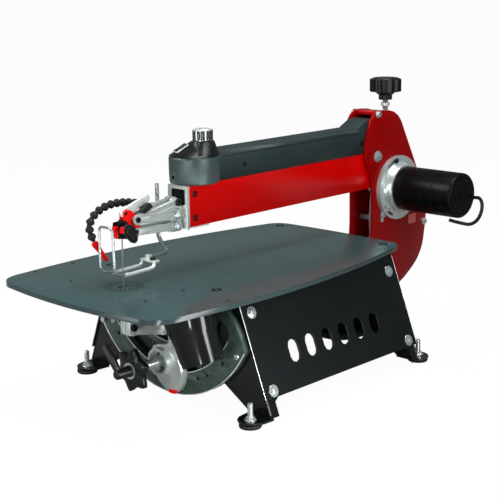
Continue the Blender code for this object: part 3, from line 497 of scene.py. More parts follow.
def aim(origin, axis, lean=None):
    """Puts local z on axis at origin; lean is the direction local x leans to."""
    z = Vector(axis).normalized()
    if lean is None:
        lean = (0, 0, 1) if abs(z.z) < 0.9 else (0, 1, 0)
    hint = Vector(lean)
    x = (hint - z * hint.dot(z)).normalized()
    return axes(x, z.cross(x), z, origin)


def outward(side, x, spot, lean=None):
    """Local z points away from the middle plane, at distance x and spot (y, z)."""
    return aim((side * x, *spot), (side, 0, 0), lean)


def along_x(y, z, x=0.0):
    """Local x, y, z become y, z, x."""
    return axes((0, 1, 0), (0, 0, 1), (1, 0, 0), (x, y, z))


def along_y(x, z, y=0.0):
    """Local x, y, z become x, z, -y: local z runs to the front."""
    return axes((1, 0, 0), (0, 0, 1), (0, -1, 0), (x, y, z))


def shift(x, y, z=0.0):
    return Matrix.Translation((x, y, z))


def place(work, matrix):
    bmesh.ops.transform(work, matrix=matrix, verts=work.verts)
    return work


def place_all(works, matrix):
    return [place(work, matrix) for work in works]


# ---------------------------------------------------------------- objects
EDGE_ANGLE = math.radians(32)  # sharper edges get a bevel or a split


def add_bevel(obj, width, segments=3):
    modifier = obj.modifiers.new("Bevel", "BEVEL")
    modifier.width = width * METRES
    modifier.segments = segments
    modifier.limit_method = "ANGLE"
    modifier.angle_limit = EDGE_ANGLE
    modifier.harden_normals = True
    modifier.use_clamp_overlap = True
    return modifier


def piece(name, works, finish, body, bevel=0.0, replaces=None, smooth=38, segments=3):
    """Merges the shapes into one object that rides on a body of the saw.

    replaces names the CAD node it stands in for; smooth is the sharp-edge angle in degrees.
    """
    mesh = bpy.data.meshes.new(name)
    total = bmesh.new()
    for work in works if isinstance(works, list) else [works]:
        part = bpy.data.meshes.new("part")
        work.to_mesh(part)
        work.free()
        total.from_mesh(part)
        bpy.data.meshes.remove(part)
    place(total, DATUM)
    total.to_mesh(mesh)
    total.free()
    obj = bpy.data.objects.new(name, mesh)
    bpy.context.scene.collection.objects.link(obj)
    material, slot = FINISHES[finish]
    mesh.materials.append(material)
    for polygon in mesh.polygons:
        polygon.use_smooth = True
    mesh.set_sharp_from_angle(angle=math.radians(smooth))
    if bevel:
        add_bevel(obj, bevel, segments)
    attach(obj, body)
    if replaces:
        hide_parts(replaces)


def dress(node, finish, bevel=0.0, segments=3, flat=False):
    """A CAD node keeps its mesh and gets a finish, shading and rounded edges."""
    obj = NODES[node]
    material, slot = FINISHES[finish]
    obj.data.materials.clear()
    obj.data.materials.append(material)
    for polygon in obj.data.polygons:
        polygon.use_smooth = not flat
        polygon.material_index = 0
    weld = obj.modifiers.new("Weld", "WELD")
    weld.merge_threshold = 1e-6
    if bevel:
        add_bevel(obj, bevel, segments).harden_normals = not flat
    elif not flat:
        edge = obj.modifiers.new("Edges", "EDGE_SPLIT")
        edge.split_angle = EDGE_ANGLE


# ---------------------------------------------------------------- table
dress("table", "slate", 1.3, 4)

DOT_RINGS = ((27.2, 30, 0), (22.6, 25, 0.5), (18.0, 20, 0))  # radius, count, turn in pitches
DOT = [(0, 0.05), (1.1, 0.05), (1.3, 0.02), (1.3, -0.2)]
# dark discs a hair above the table top: painted shade in the insert's perforations
dots = []
for ring_radius, count, turn in DOT_RINGS:
    for i in range(count):
        spot = polar(ring_radius, 2 * math.pi * (i + turn) / count)
        dots.append(place(lathe(DOT, 12), shift(*spot)))
piece("table_perforated_ring", dots, "hole", "base")

# a dark frame round the blade slot, just over the table top: painted shade at the slot's edges
slot_rim = sheet([
    rounded_rect(-1.9, 1.9, -11.2, 6.0, 1.8), rounded_rect(-1.15, 1.15, -10.2, 5.0, 1.0),
], -0.25, 0.05)
piece("table_slot_rim", slot_rim, "hole", "base")

TABLE_SCREWS = ((112, 71.6), (-112, 71.6), (111.4, 448.5), (-111.4, 448.5))
TABLE_SCREW = [
    (0, -0.4), (7.6, -0.4), (7.6, 0.06), (6.9, 0.12), (3.4, 0.04), (3.0, -0.3), (0, -0.3),
]
heads = [place(lathe(TABLE_SCREW, 40), shift(*spot)) for spot in TABLE_SCREWS]
piece("table_screws", heads, "hole", "base")

# dark discs with a raised rim just above the table top: painted shade in the threaded holes
TABLE_HOLES = ((79, 40), (80, -31), (164, -31), (165, 40))  # x on the right, y
TABLE_HOLE = [(0, 0.05), (1.9, 0.05), (2.4, 0.08), (2.7, 0.02), (2.7, -0.2)]
holes = [
    place(lathe(TABLE_HOLE, 20), shift(side * x, y)) for x, y in TABLE_HOLES for side in (1, -1)
]
piece("table_threaded_holes", holes, "hole", "base")

# ---------------------------------------------------------------- stand
STAND_MID_Y = 262.5  # the stand's front and rear mirror about this
PANEL_X, PANEL_SLOPE = 132.0, 0.386  # side panel: x at z = 0, spread per unit of drop
PANEL_TILT = math.atan(PANEL_SLOPE)
PANEL_NORMAL = Vector((math.cos(PANEL_TILT), 0, math.sin(PANEL_TILT)))
BEND_Y, HIGHLIGHT_LINE_Y, PANEL_BOLT_Y = 92.3, 87.8, 106.0
FOOT_X, FOOT_Y, FOOT_NUT_Z = 177, 68.0, -173.0


def from_end(end, y):
    return y if end == "front" else 2 * STAND_MID_Y - y


def on_panel(side, y, z, depth=0.0):
    """The point of a side panel's face at height z, sunk by depth."""
    x = PANEL_X - PANEL_SLOPE * z - depth * PANEL_NORMAL.x
    return (side * x, y, z - depth * PANEL_NORMAL.z)


for node in ("front_frame", "rear_frame"):
    dress(node, "black_steel", 0.5, 1, flat=True)
for node in ("side_panel_right", "side_panel_left"):
    dress(node, "panel_black", 0.5, 1, flat=True)

FOOT_PAD = [
    (0, -176.4), (12.6, -176.4), (15.2, -177.4), (16.0, -178.6), (16.0, -181.6),
    (15.2, -182.8), (13.6, FLOOR_Z), (0, FLOOR_Z),
]
FOOT_STUD = [(0, -176), (3.6, -176)]
for i in range(13):  # the thread
    z = -167 + i * 1.4
    FOOT_STUD += [(3.55, z), (4.0, z + 0.7)]
FOOT_STUD += [(3.4, -148.9), (2.8, -148.2), (0, -148.2)]

for side, tag in SIDES:
    for end in ENDS:
        bend = [on_panel(side, from_end(end, BEND_Y), z, 4.6) for z in (-16, -60, -110, -168)]
        piece(f"frame_bend_{end}_{tag}", sweep(bend, 2.2, 20), "black_steel", "base")
        # a thin bright wire along each side panel's front edge: a painted highlight
        edge = [on_panel(side, from_end(end, HIGHLIGHT_LINE_Y), z, 0.5) for z in (-12, -60, -100, -147)]
        piece(f"frame_highlight_line_{end}_{tag}", sweep(edge, 0.55, 10), "silver_light", "base")
    number = 0
    for end in ENDS:
        for z in (-34, -139):
            number += 1
            normal = (side * PANEL_NORMAL.x, 0, PANEL_NORMAL.z)
            spot = on_panel(side, from_end(end, PANEL_BOLT_Y), z)
            head = hex_bolt(radius=6.4, height=3.2, washer=8.8, washer_height=1.1)
            bolt = f"panel_bolt_{tag}_{number}"
            head = place_all(head, aim(spot, normal, (0, 0.3, 1)))
            piece(f"{bolt}_head", head, "steel", "base", replaces=bolt)
    for end in ENDS:
        y = from_end(end, FOOT_Y)
        pad = place(lathe(FOOT_PAD, 56), shift(side * FOOT_X, y))
        piece(f"foot_pad_{end}_{tag}", pad, "rubber", "base", replaces=f"foot_{end}_{tag}")
        nut = hex_bolt(radius=6.6, height=4.6, washer=8.6, washer_height=1.4)[:2]
        nut = place_all(nut, shift(side * FOOT_X, y, FOOT_NUT_Z))
        stud = place(lathe(FOOT_STUD, 28), shift(side * FOOT_X, y))
        piece(f"foot_nut_{end}_{tag}", nut + [stud], "steel", "base")

# ---------------------------------------------------------------- trunnions
TRUNNION_FRONT_Y = 80.4
TRUNNION_BOLT_Y = 80.6
TRUNNION_BOLTS = ((141, -92.5, 4.4), (-148, -94, 4.6), (-123, -90.5, 4.4))  # x, z, radius
# painted highlight wires along the trunnion's edges
# radius, half span in degrees about straight down, wire radius: outside, rim and slot
TRUNNION_HIGHLIGHT_LINES = ((177.5 - 0.5, 61, 0.7), (99.0 + 0.5, 65, 0.7), (143.6 + 0.6, 59, 0.6))

# the trunnions take the darker copy of cast silver: painted shade
dress("front_trunnion", "trunnion_cast", 0.9, 2)
dress("rear_trunnion", "trunnion_cast", 0.8, 2)
bolts = [
    place(cap_screw(radius, 2.6, 2.2), along_y(x, z, TRUNNION_BOLT_Y))
    for x, z, radius in TRUNNION_BOLTS
]
piece("trunnion_bolts", bolts, "steel", "base")
# bright wires along the front trunnion's outside, rim and slot edges: painted highlights
edges = []
for radius, half_span, wire in TRUNNION_HIGHLIGHT_LINES:
    curve = arc(radius, -90 - half_span, -90 + half_span, 60)
    edges.append(sweep([(x, TRUNNION_FRONT_Y, z) for x, z in curve], wire, 8))
piece("trunnion_painted_highlights", edges, "silver_light", "base")

# ---------------------------------------------------------------- dust port
# an oblique cone under the table, open at the bottom and cut level at the top
PORT_FOOT = Vector((117.5, 38, -97.5))
PORT_LEAN = Vector((-26, 0, 65)).normalized()
PORT_RADIUS, PORT_TAPER = 29.5, 0.1  # at the foot; growth per unit of length
PORT_TOP_Z = -11.05
# added radius, distance up the axis; None is where the wall meets the level top
PORT_WALL = (
    (-2.0, None), (-2.0, 6), (-1.5, 1.4), (-0.9, 0.0), (-0.4, 0.3), (0.0, 1.6), (0.0, 43.4),
    (0.9, 44.6), (0.9, None),
)


def port_tube():
    work = bmesh.new()
    back = Vector((0, 1, 0))
    side = PORT_LEAN.cross(back).normalized()
    steps = 96
    rings = []
    for extra, height in PORT_WALL:
        ring = []
        for i in range(steps):
            angle = 2 * math.pi * i / steps
            way = side * math.cos(angle) + back * math.sin(angle)
            rise = height
            if rise is None:
                gap = PORT_TOP_Z - PORT_FOOT.z - way.z * (PORT_RADIUS + extra)
                rise = gap / (PORT_LEAN.z + way.z * PORT_TAPER)
            reach = PORT_RADIUS + PORT_TAPER * rise + extra
            ring.append(work.verts.new(PORT_FOOT + PORT_LEAN * rise + way * reach))
        rings.append(ring)
    skin(work, rings + rings[:1])
    return faces_out(work)


plate = prism(rounded_rect(44.5, 121.5, 4.5, 61.5, 9), -13.9, -11.4)
spacers = [place(disc(4.3, -7.4, -11.6, 28), shift(x, 10.5)) for x in (50.5, 115.5)]
rib_way = Vector((0.93, -0.2, 0.36)).normalized()
rib = [
    PORT_FOOT + PORT_LEAN * rise + rib_way * (PORT_RADIUS - 0.3 + PORT_TAPER * rise)
    for rise in (2, 20, 43)
]
tube = [port_tube(), plate] + spacers
piece("dust_port_tube", tube, "port_plastic", "base", replaces="dust_port")
piece("dust_port_rib", sweep(rib, 1.2, 10), "port_plastic", "base")

# ---------------------------------------------------------------- head housing
HOUSING_SCREWS = ((544, 193), (559, 20), (679.5, -10))  # y, z

# the housing plates take the darker red: painted shade on the sides
for node in ("housing_plate_right", "housing_plate_left"):
    dress(node, "red_paint_shaded", 1.0, 3)
dress("housing_spine", "dark_red", 0.8, 2)
for number, spot in enumerate(HOUSING_SCREWS, 1):
    for side, tag in SIDES:
        head = [disc(6.3, 0, 1.0, 32), cap_screw(4.5, 3.6, 2.4, base=1.0)]
        head = place_all(head, outward(side, 25.0, spot))
        piece(f"housing_screw_{tag}_{number}", head, "steel", "head")
for side, tag in SIDES:
    bolt = hex_bolt(radius=7.2, height=3.8, washer=8.2, washer_height=1.2)
    stack = [disc(9.6, 0.4, 1.6, 48)] + place_all(bolt, shift(0, 0, 1.4))
    stack = place_all(stack, outward(side, 24.8, ARM_PIVOT, (0, 0.25, 1)))
    piece(f"arm_pivot_head_{tag}", stack, "steel", "head", replaces="arm_pivot_bolt")
sticker = prism(rounded_rect(-11, 11, -8.5, 8.5, 1.5), 0.0, 0.2)
piece("housing_sticker", place(sticker, along_x(644, 0, 25.05)), "sticker", "head")

# ---------------------------------------------------------------- motor, lying along +x
MOTOR_AXIS = along_x(MOTOR_Y, MOTOR_Z)
FLANGE_SLOT_RADIUS, FLANGE_SLOT_HALF = 48.6, 2.6  # centre line, half width
FLANGE_SLOT_SPAN = 15  # degrees either way
FLANGE_SLOTS = [112 + 120 * k for k in range(3)]  # degrees
MOTOR_END_X = 162.5


def flange_slot(middle):
    """An arc-shaped slot with round ends."""
    first, last = middle - FLANGE_SLOT_SPAN, middle + FLANGE_SLOT_SPAN
    radius, half = FLANGE_SLOT_RADIUS, FLANGE_SLOT_HALF
    last_end = arc(half, last, middle + 195, 9, *polar(radius, math.radians(last)))
    first_end = arc(half, middle - 180, middle, 9, *polar(radius, math.radians(first)))
    outer = arc(radius + half, first, last, 16)
    inner = arc(radius - half, last, first, 16)
    return outer + last_end[1:-1] + inner + first_end[1:-1]


outlines = [circle(55, 96)] + [flange_slot(middle) for middle in FLANGE_SLOTS] + [circle(20, 48)]
flange = place(sheet(outlines, 25.4, 33.0), MOTOR_AXIS)
piece("motor_flange_disc", flange, "machined", "head", 0.8, replaces="motor_flange")
FLANGE_HUB = [
    (20, 33), (44.6, 33), (44.0, 34.2), (42.2, 36.0), (41.0, 38.5), (40.4, 43.6),
    (39.2, 45.0), (20, 45.0),
]
piece("motor_flange_hub", place(lathe(FLANGE_HUB, 96, True), MOTOR_AXIS), "machined", "head")
for number, middle in enumerate(FLANGE_SLOTS, 1):
    spot = polar(FLANGE_SLOT_RADIUS, math.radians(middle - 9), MOTOR_Y, MOTOR_Z)
    screw = [disc(3.9, -2.0, 0.2, 24), cap_screw(3.6, 3.0, 1.8, base=0.2)]
    finish = "dark_steel" if number == 1 else "steel"
    screw = place_all(screw, outward(1, 33.1, spot))
    piece(f"motor_flange_screw_{number}", screw, finish, "head")

MOTOR_CAN = [  # radius, x
    (0, 45.4), (36.2, 45.4), (37.2, 46.6), (37.6, 48.0), (37.6, 103.0), (37.0, 103.6),
    (37.0, 104.6), (37.6, 105.2), (37.6, 122.0), (36.9, 122.8), (36.9, 124.0), (37.5, 124.6),
    (37.5, 156.5), (36.9, 159.2), (35.2, 161.2), (33.2, 162.0), (31.0, 162.2), (30.4, 161.6),
    (29.6, 161.6), (29.0, 162.4), (0, 162.6),
]
can = place(lathe(MOTOR_CAN, 112), MOTOR_AXIS)
piece("motor_can", can, "motor_black", "head", replaces="motor_body")

BRUSH_ANGLE = math.radians(212)
BRUSH_CAP = [(0, 2.0), (4.6, 2.0), (5.0, 1.6), (5.0, -1), (0, -1)]
BRUSH_BEZEL = [(6.1, -0.6), (6.1, 2.0), (6.9, 2.4), (8.2, 2.1), (8.4, 1.2), (8.4, -0.6)]
for number, angle in enumerate((BRUSH_ANGLE, BRUSH_ANGLE - math.pi), 1):
    way = Vector((0, math.cos(angle), math.sin(angle)))
    seat = aim(Vector((141, MOTOR_Y, MOTOR_Z)) + way * 35.6, way)
    piece(f"motor_brush_cap_{number}", place(lathe(BRUSH_CAP, 36), seat), "hole", "head")
    bezel = place(lathe(BRUSH_BEZEL, 44, True), seat)
    piece(f"motor_brush_bezel_{number}", bezel, "motor_black", "head")

END_SCREWS = ((23, 14), (-23, -14), (10, 25), (-8, -26))  # y, z from the motor axis
END_SCREW = [(0, 0.3), (1.5, 0.3), (2.0, 0.0), (2.4, 0.25), (2.6, -0.4)]
END_CENTRE = [(0, 0.1), (2.0, 0.1), (2.3, 0.45), (3.0, 0.45), (3.3, -0.4)]
screws = [
    place(lathe(END_SCREW, 20), along_x(MOTOR_Y + y, MOTOR_Z + z, MOTOR_END_X))
    for y, z in END_SCREWS
]
screws.append(place(lathe(END_CENTRE, 24), along_x(MOTOR_Y, MOTOR_Z, MOTOR_END_X)))
piece("motor_end_screws", screws, "dark_steel", "head")

MOTOR_CABLE = [
    (141, 637.0, 52), (158, 637.2, 54), (174, 627, 56), (187.6, 614, 51), (193.2, 604, 39),
    (188, 600, 25), (176, 598, 17), (162, 594, 17.6), (150, 590, 19.6), (142, 588, 21.2),
]
cable = sweep(smooth_path(MOTOR_CABLE), 2.9, 18)
piece("motor_cable_loop", cable, "rubber", "head", replaces="motor_cable")

# ---------------------------------------------------------------- height knob, above the motor
HEIGHT_AXIS = shift(0, MOTOR_Y)
HEIGHT_CROWN = [(0, 249.2), (19.6, 249.2), (21.6, 248.8), (23.0, 247.8), (23.6, 246.5), (0, 246.5)]
HEIGHT_SKIRT = [(0, 226), (19.5, 226), (17, 224.4), (13.6, 221.0), (12.0, 219.6), (0, 219.6)]
HEIGHT_COLLAR = [
    (5.1, 201.0), (7.0, 201.0), (7.5, 201.6), (7.5, 206.4), (7.0, 207.0), (5.1, 207.0),
]
knob = place_all([
    prism(lobes(27.2, 3.0, count=12, per=14, sharp=0.8), 225.5, 247.0),
    lathe(HEIGHT_CROWN),
    lathe(HEIGHT_SKIRT),
    prism(lobes(11.4, 1.4, count=10, per=10), 211.6, 221.0),
], HEIGHT_AXIS)
piece("height_knob_grip", knob, "knob_plastic", "height_knob", 0.9, replaces="height_knob")
collar = place(lathe(HEIGHT_COLLAR, 44, True), HEIGHT_AXIS)
piece("height_screw_collar", collar, "silver_light", "height_knob")
thread = [(0, 130.2), (4.4, 130.2)]
for z in range(132, 212, 2):
    thread += [(4.3, z), (4.95, z + 1.0)]
thread += [(4.3, 212.4), (0, 212.4)]
piece("height_screw_thread", place(lathe(thread, 32), HEIGHT_AXIS), "steel", "height_knob")

# ---------------------------------------------------------------- upper arm
ARM_FACE_X = 20.0
ARM_FRONT_SCREWS = ((122.5, 116.5), (122.5, 81.5))  # y, z
COVER_SCREWS = ((226, 147), (505, 147))  # y, z

dress("upper_arm", "red_paint", 1.4, 4)
dress("arm_cover", "cover_grey", 1.6, 3)
dress("arm_front_casting", "cast_silver", 0.8, 2)
for number, spot in enumerate(ARM_FRONT_SCREWS, 1):
    for side, tag in SIDES:
        collar = lathe([(4.2, -0.2), (4.2, 0.25), (4.9, 0.3), (5.2, 0.0), (5.2, -0.2)], 32, True)
        screw = [collar, cap_screw(3.9, 1.5, 1.9, base=-0.6)]
        screw = place_all(screw, outward(side, ARM_FACE_X, spot))
        piece(f"arm_front_screw_{tag}_{number}", screw, "dark_steel", "arm")
for number, spot in enumerate(COVER_SCREWS, 1):
    for side, tag in SIDES:
        screw = place(cap_screw(3.4, 1.6, 1.6, base=-0.7), outward(side, ARM_FACE_X, spot))
        piece(f"cover_screw_{tag}_{number}", screw, "dark_steel", "arm")
# a flat dark sheet on the casting's front: painted shade in its recess
recess = prism(rounded_rect(-12, 15.5, 101, 124, 3.0), -0.1, 0.1)
piece("casting_front_painted_shade", place(recess, along_y(0, 0, CASTING_FRONT_Y)), "hole", "arm")
seams = [block(x0, x1, 182, 497, 163.8, 164.6) for x0, x1 in ((19.9, 20.12), (-20.12, -19.9))]
piece("cover_seam_lines", seams, "hole", "arm")
under_plate = block(-18.5, 18.5, 118, 152, 66.4, 68.8)
piece("arm_under_plate", under_plate, "silver_light", "arm", 0.5)

# ---------------------------------------------------------------- control head
HEAD_SHELL = [
    (0, 129.5), (35.4, 129.5), (36.3, 130.4), (36.9, 133), (37.5, 150), (37.5, 166.2),
    (36.9, 167.8), (35.6, 168.9), (0, 169.0),
]
shell = place(lathe(HEAD_SHELL, 112), shift(0, CONTROL_HEAD_Y))
piece("control_head_shell", shell, "gunmetal", "arm", replaces="control_head")


def switch_face():
    """The frame of the cap's slope under the switch: x up the slope, z out of it."""
    angle = math.radians(248)
    low = Vector((*polar(37, angle, 0, CONTROL_HEAD_Y), 169.3))
    high = Vector((*polar(17, angle, 0, SPEED_KNOB_Y), 187.8))
    slope = (high - low).normalized()
    across = Vector((math.sin(angle), -math.cos(angle), 0))
    out = slope.cross(across).normalized()
    return axes(slope, across, out, low.lerp(high, 0.5))


SWITCH_FACE = switch_face()
dress("control_cap", "cap_black", 0.6, 3)
bezel = sheet([
    rounded_rect(-12.2, 12.2, -9.2, 9.2, 2.4), rounded_rect(-9.6, 9.6, -6.9, 6.9, 1.2),
], -0.6, 1.0)
piece("switch_bezel", place(bezel, SWITCH_FACE), "cap_black", "arm", 0.4)
cover_rim = sheet([
    rounded_rect(-11.6, 11.6, -8.6, 8.6, 2.2), rounded_rect(-10.4, 10.4, -7.4, 7.4, 1.2),
], 1.0, 2.6)
piece("switch_cover_rim", place(cover_rim, SWITCH_FACE), "silver_light", "arm", 0.3)
pane = prism(rounded_rect(-10.6, 10.6, -7.6, 7.6, 1.4), 2.0, 2.5)
piece("switch_clear_cover", place(pane, SWITCH_FACE), "clear", "arm", 0.2)
dress("power_switch", "cap_black", 0.5, 3)

# screw in its groove on the front of the shell
angle = math.radians(262)
spot = Vector((*polar(37.0, angle, 0, CONTROL_HEAD_Y), 140))
out = Vector((*polar(1, angle), 0))
groove = prism(rounded([(-5, -3.2), (22, -2.6), (22, 2.6), (-5, 3.2)], 2.6), -0.8, 0.35)
groove = place(groove, aim(spot, out, (0, 0, 1)))
piece("control_head_groove", groove, "chrome", "arm", 0.25)
screw = place(cap_screw(2.9, 1.4, 1.4, base=0.2), aim(spot, out))
piece("control_head_screw", screw, "hole", "arm")

# speed knob
SPEED_AXIS = shift(0, SPEED_KNOB_Y)
SPEED_TOP = [(0, 205.9), (10.6, 205.9), (12.2, 205.5), (13.2, 204.6), (13.3, 203.2), (0, 203.2)]


def speed_turn(degrees):
    return SPEED_AXIS @ Matrix.Rotation(math.radians(degrees), 4, "Z")


dial = place_all([
    prism(lobes(15.2, 1.3, count=16, per=14, sharp=0.7), 188.5, 203.6),
    disc(15.0, 188.4, 190.2, 72),
], SPEED_AXIS)
piece("speed_knob_grip", dial, "chrome", "speed_knob", 0.5, replaces="speed_knob")
piece("speed_knob_top", place(lathe(SPEED_TOP), SPEED_AXIS), "silver_light", "speed_knob")
mark = prism(rounded_rect(-0.9, 0.9, 3.5, 11.5, 0.7), 205.75, 206.0)
piece("speed_knob_mark", place(mark, speed_turn(200)), "hole", "speed_knob")
ticks = [
    place(block(-0.35, 0.35, 15.9, 17.2, 187.8, 188.02), speed_turn(110 + i * 40))
    for i in range(9)
]
piece("speed_dial_ticks", ticks, "silver_light", "arm")

# ---------------------------------------------------------------- upper blade linkage
dress("upper_rocker", "cast_silver", 0.8, 3)
dress("upper_link", "cast_silver", 1.0, 3)
dress("lower_rocker", "cast_silver", 0.8, 2)
dress("lower_link", "cast_silver", 0.8, 2)

ROCKER_BOSS = [(3.2, 0), (7.4, 0), (7.4, 1.2), (6.6, 1.9), (3.2, 1.9)]
LINK_BOSS = [(2.8, 0), (6.0, 0), (6.0, 0.4), (5.4, 0.7), (2.8, 0.7)]
PIN_ROLLER = [(0, 0), (5.6, 0), (5.6, 3.1), (4.9, 3.8), (0, 3.8)]


def edge_ribs(x, start, end, insets, spreads, radius):
    """Two wires at x along the edges of the bar from start to end, both (y, z).

    insets shorten the wires at each end; spreads are their distances from the bar's axis there.
    """
    way = (Vector(end) - Vector(start)).normalized()

    def point(joint, ahead, aside):
        y = joint[0] + way.x * ahead - way.y * aside
        z = joint[1] + way.y * ahead + way.x * aside
        return Vector((x, y, z))

    ribs = []
    for edge in (1, -1):
        first = point(start, insets[0], spreads[0] * edge)
        last = point(end, -insets[1], spreads[1] * edge)
        ribs.append(sweep([first, first.lerp(last, 0.5), last], radius, 12))
    return ribs


for side, tag in SIDES:
    ribs = edge_ribs(side * 10.2, ROCKER_PIVOT, ROCKER_TIP, (8, 6), (5.76, 3.84), 1.1)
    ribs += edge_ribs(side * 10.2, ROD_PIN, ROCKER_TIP, (8, 6), (4.32, 3.36), 1.1)
    ribs.append(place(lathe(ROCKER_BOSS, 48, True), outward(side, 10.0, ROCKER_TIP)))
    piece(f"upper_rocker_ribs_{tag}", ribs, "cast_silver", "upper_rocker")
    ribs = edge_ribs(side * 9.8, LINK_PIVOT, LINK_TIP, (7, 5), (4.6, 3.9), 0.9)
    ribs.append(place(lathe(LINK_BOSS, 40, True), outward(side, 10.0, LINK_TIP)))
    piece(f"upper_link_ribs_{tag}", ribs, "cast_silver", "upper_link")
    # washers and nuts on the casting's pins
    for name, joint, radius in (("rocker", ROCKER_PIVOT, 7.2), ("link", LINK_PIVOT, 6.0)):
        washers = [disc(radius + 1.6, 10.8, 11.9, 44), disc(radius + 0.4, 11.8, 12.9, 44)]
        seat = axes((0, side, 0), (0, 0, 1), (side, 0, 0), (0, *joint))
        washers = place_all(washers, seat)
        piece(f"upper_{name}_pivot_washer_{tag}", washers, "steel", "arm")
        nut = hex_bolt(radius=radius - 0.6, height=3.0, washer=radius - 0.4, washer_height=0.6)
        nut = place_all(nut, outward(side, 12.6, joint))
        piece(f"upper_{name}_pivot_nut_{tag}", nut, "steel", "arm")
    # ends of the pins on the rocker and the link
    roller = place(lathe(PIN_ROLLER, 48), outward(side, 10.2, ROD_PIN))
    piece(f"rod_pin_roller_{tag}", roller, "rubber", "upper_rocker")
    for name, screw, x, joint, body in (
        ("rod", cap_screw(3.6, 1.4, 1.8, base=3.7), 10.2, ROD_PIN, "upper_rocker"),
        ("front", cap_screw(3.9, 2.6, 2.0, base=1.7), 10.0, ROCKER_TIP, "upper_rocker"),
        ("link", cap_screw(3.6, 1.3, 1.9, base=0.1), 10.0, LINK_TIP, "upper_link"),
    ):
        screw = place(screw, outward(side, x, joint))
        piece(f"{name}_pin_screw_{tag}", screw, "dark_steel", body)

# ---------------------------------------------------------------- upper blade holder
# outlines here are (y, z), extruded along x
SIDEWAYS = along_x(0, 0)
LEVER_PIN = (4.0, 104.0)
CLAMP_CENTRE = (2.0, 77.0)
CLAMP_AXIS = along_x(*CLAMP_CENTRE)

dress("upper_blade_holder", "red_plastic", 0.7, 3)
dress("blade", "steel")

bar = place(prism(hull((*LEVER_PIN, 6.4), (46.5, 118.5, 5.7)), -2.35, 2.35), SIDEWAYS)
piece("tension_lever_bar", bar, "silver_light", "tension_lever", 1.3,
      replaces="tension_lever", segments=4)
LEVER_HEAD = [(2.2, -2.6), (5.2, -2.6), (5.6, -2.0), (5.6, 2.0), (5.2, 2.6), (2.2, 2.6)]
head = place(lathe(LEVER_HEAD, 44, True), along_x(*LEVER_PIN))
piece("tension_lever_head", head, "silver_light", "tension_lever")
LEVER_PIN_SHAPE = [
    (0, -6.2), (2.4, -6.2), (2.4, -5.5), (1.8, -5.5), (1.8, 5.5), (2.4, 5.5), (2.4, 6.2), (0, 6.2),
]
pin = place(lathe(LEVER_PIN_SHAPE, 28), along_x(*LEVER_PIN))
piece("tension_lever_pin", pin, "dark_steel", "upper_holder")

wing = place_all([
    prism(hull((1.5, 80.5, 9.3), (-4, 83, 7.8), (8, 69, 6.0)), 11.8, 18.4),
    prism(hull((1.5, 80.5, 6.6), (-3, 82, 5.6), (7, 70, 4.0)), 18.0, 20.8),
], SIDEWAYS)
wing += place_all([disc(7.9, 12.0, 7.6, 48), disc(2.5, 1.4, 8.0, 24)], CLAMP_AXIS)
piece("upper_clamp_wing", wing, "knob_plastic", "upper_clamp", 1.1, replaces="upper_clamp_knob")
jaw = [block(-3.8, 3.8, -14.6, -10.8, 81.2, 87.0), block(-3.6, 3.6, -11.4, -3.0, 84.6, 86.8)]
piece("blade_clamp_red_tab", jaw, "red_plastic", "upper_holder", 0.8)
insert = prism(rounded([(-15.4, 80.4), (-8.6, 79.0), (-7.0, 87.6), (-13.6, 89.0)], 1.6), 12.6, 18.0)
piece("clamp_wing_red_insert", place(insert, SIDEWAYS), "red_plastic", "upper_clamp", 0.6)
LEFT_SHOE = [(-11.6, 71.0), (9.0, 67.0), (10.6, 84.0), (3.0, 92.0), (-9.6, 92.0)]
RIGHT_SHOE = [(-11.6, 71.0), (9.0, 67.0), (10.6, 84.0), (3.0, 93.4), (-8.6, 98.6), (-11.6, 95.0)]
shoe = prism(rounded(LEFT_SHOE, 2.4), -7.6, -5.9)
piece("clamp_side_shoe", place(shoe, SIDEWAYS), "knob_plastic", "upper_holder", 0.5)
shoe = sheet([rounded(RIGHT_SHOE, 2.4), circle(3.1, 32, *CLAMP_CENTRE)], 5.9, 7.4)
piece("clamp_front_shoe", place(shoe, SIDEWAYS), "knob_plastic", "upper_holder", 0.4)
BUMPER = [(26.9, 104.6), (42.6, 114.6), (49.0, 108.0), (33.4, 99.6)]
bumper = place(prism(rounded(BUMPER, 1.4), 5.2, 12.4), SIDEWAYS)
piece("rocker_rubber_bumper", bumper, "rubber", "upper_rocker", 1.0)

# ---------------------------------------------------------------- carrier and tilt controls
TILT_AXIS = along_y(0, TILT_KNOB_Z)

dress("lower_arm", "black_steel", 0.6, 2)
dress("front_carrier", "cast_silver", 1.8, 3)
CARRIER_RING = [  # radius, -y
    (16.7, -58.2), (16.4, -60.0), (16.4, -72.0), (17.6, -72.0), (20.0, -68.1), (20.4, -62.0),
    (20.2, -59.4), (19.4, -58.2),
]
ring = place(lathe(CARRIER_RING, closed=True), TILT_AXIS)
piece("carrier_ring", ring, "silver_light", "head")
POINTER = [  # x, z
    (13.0, -166.6), (24.0, -165.4), (30.6, -164.6), (31.6, -167.6), (27.4, -170.6),
    (22.0, -171.6), (14.0, -171.2),
]
pointer = place(prism(POINTER, 66.0, 68.0), axes((1, 0, 0), (0, 0, 1), (0, 1, 0), (0, 0, 0)))
piece("tilt_pointer", pointer, "red_plastic", "head", 0.4)

# from back to front: share of the rim outline against the hub's, -y, scale
STAR_STATIONS = (
    (1.0, -15.1, 0.985), (1.0, -14.4, 1.0), (1.0, -8.6, 1.0), (1.0, -7.9, 0.985),
    (0.62, -6.7, 1.0), (0.25, -5.6, 1.0), (0.0, -4.9, 1.0),
)


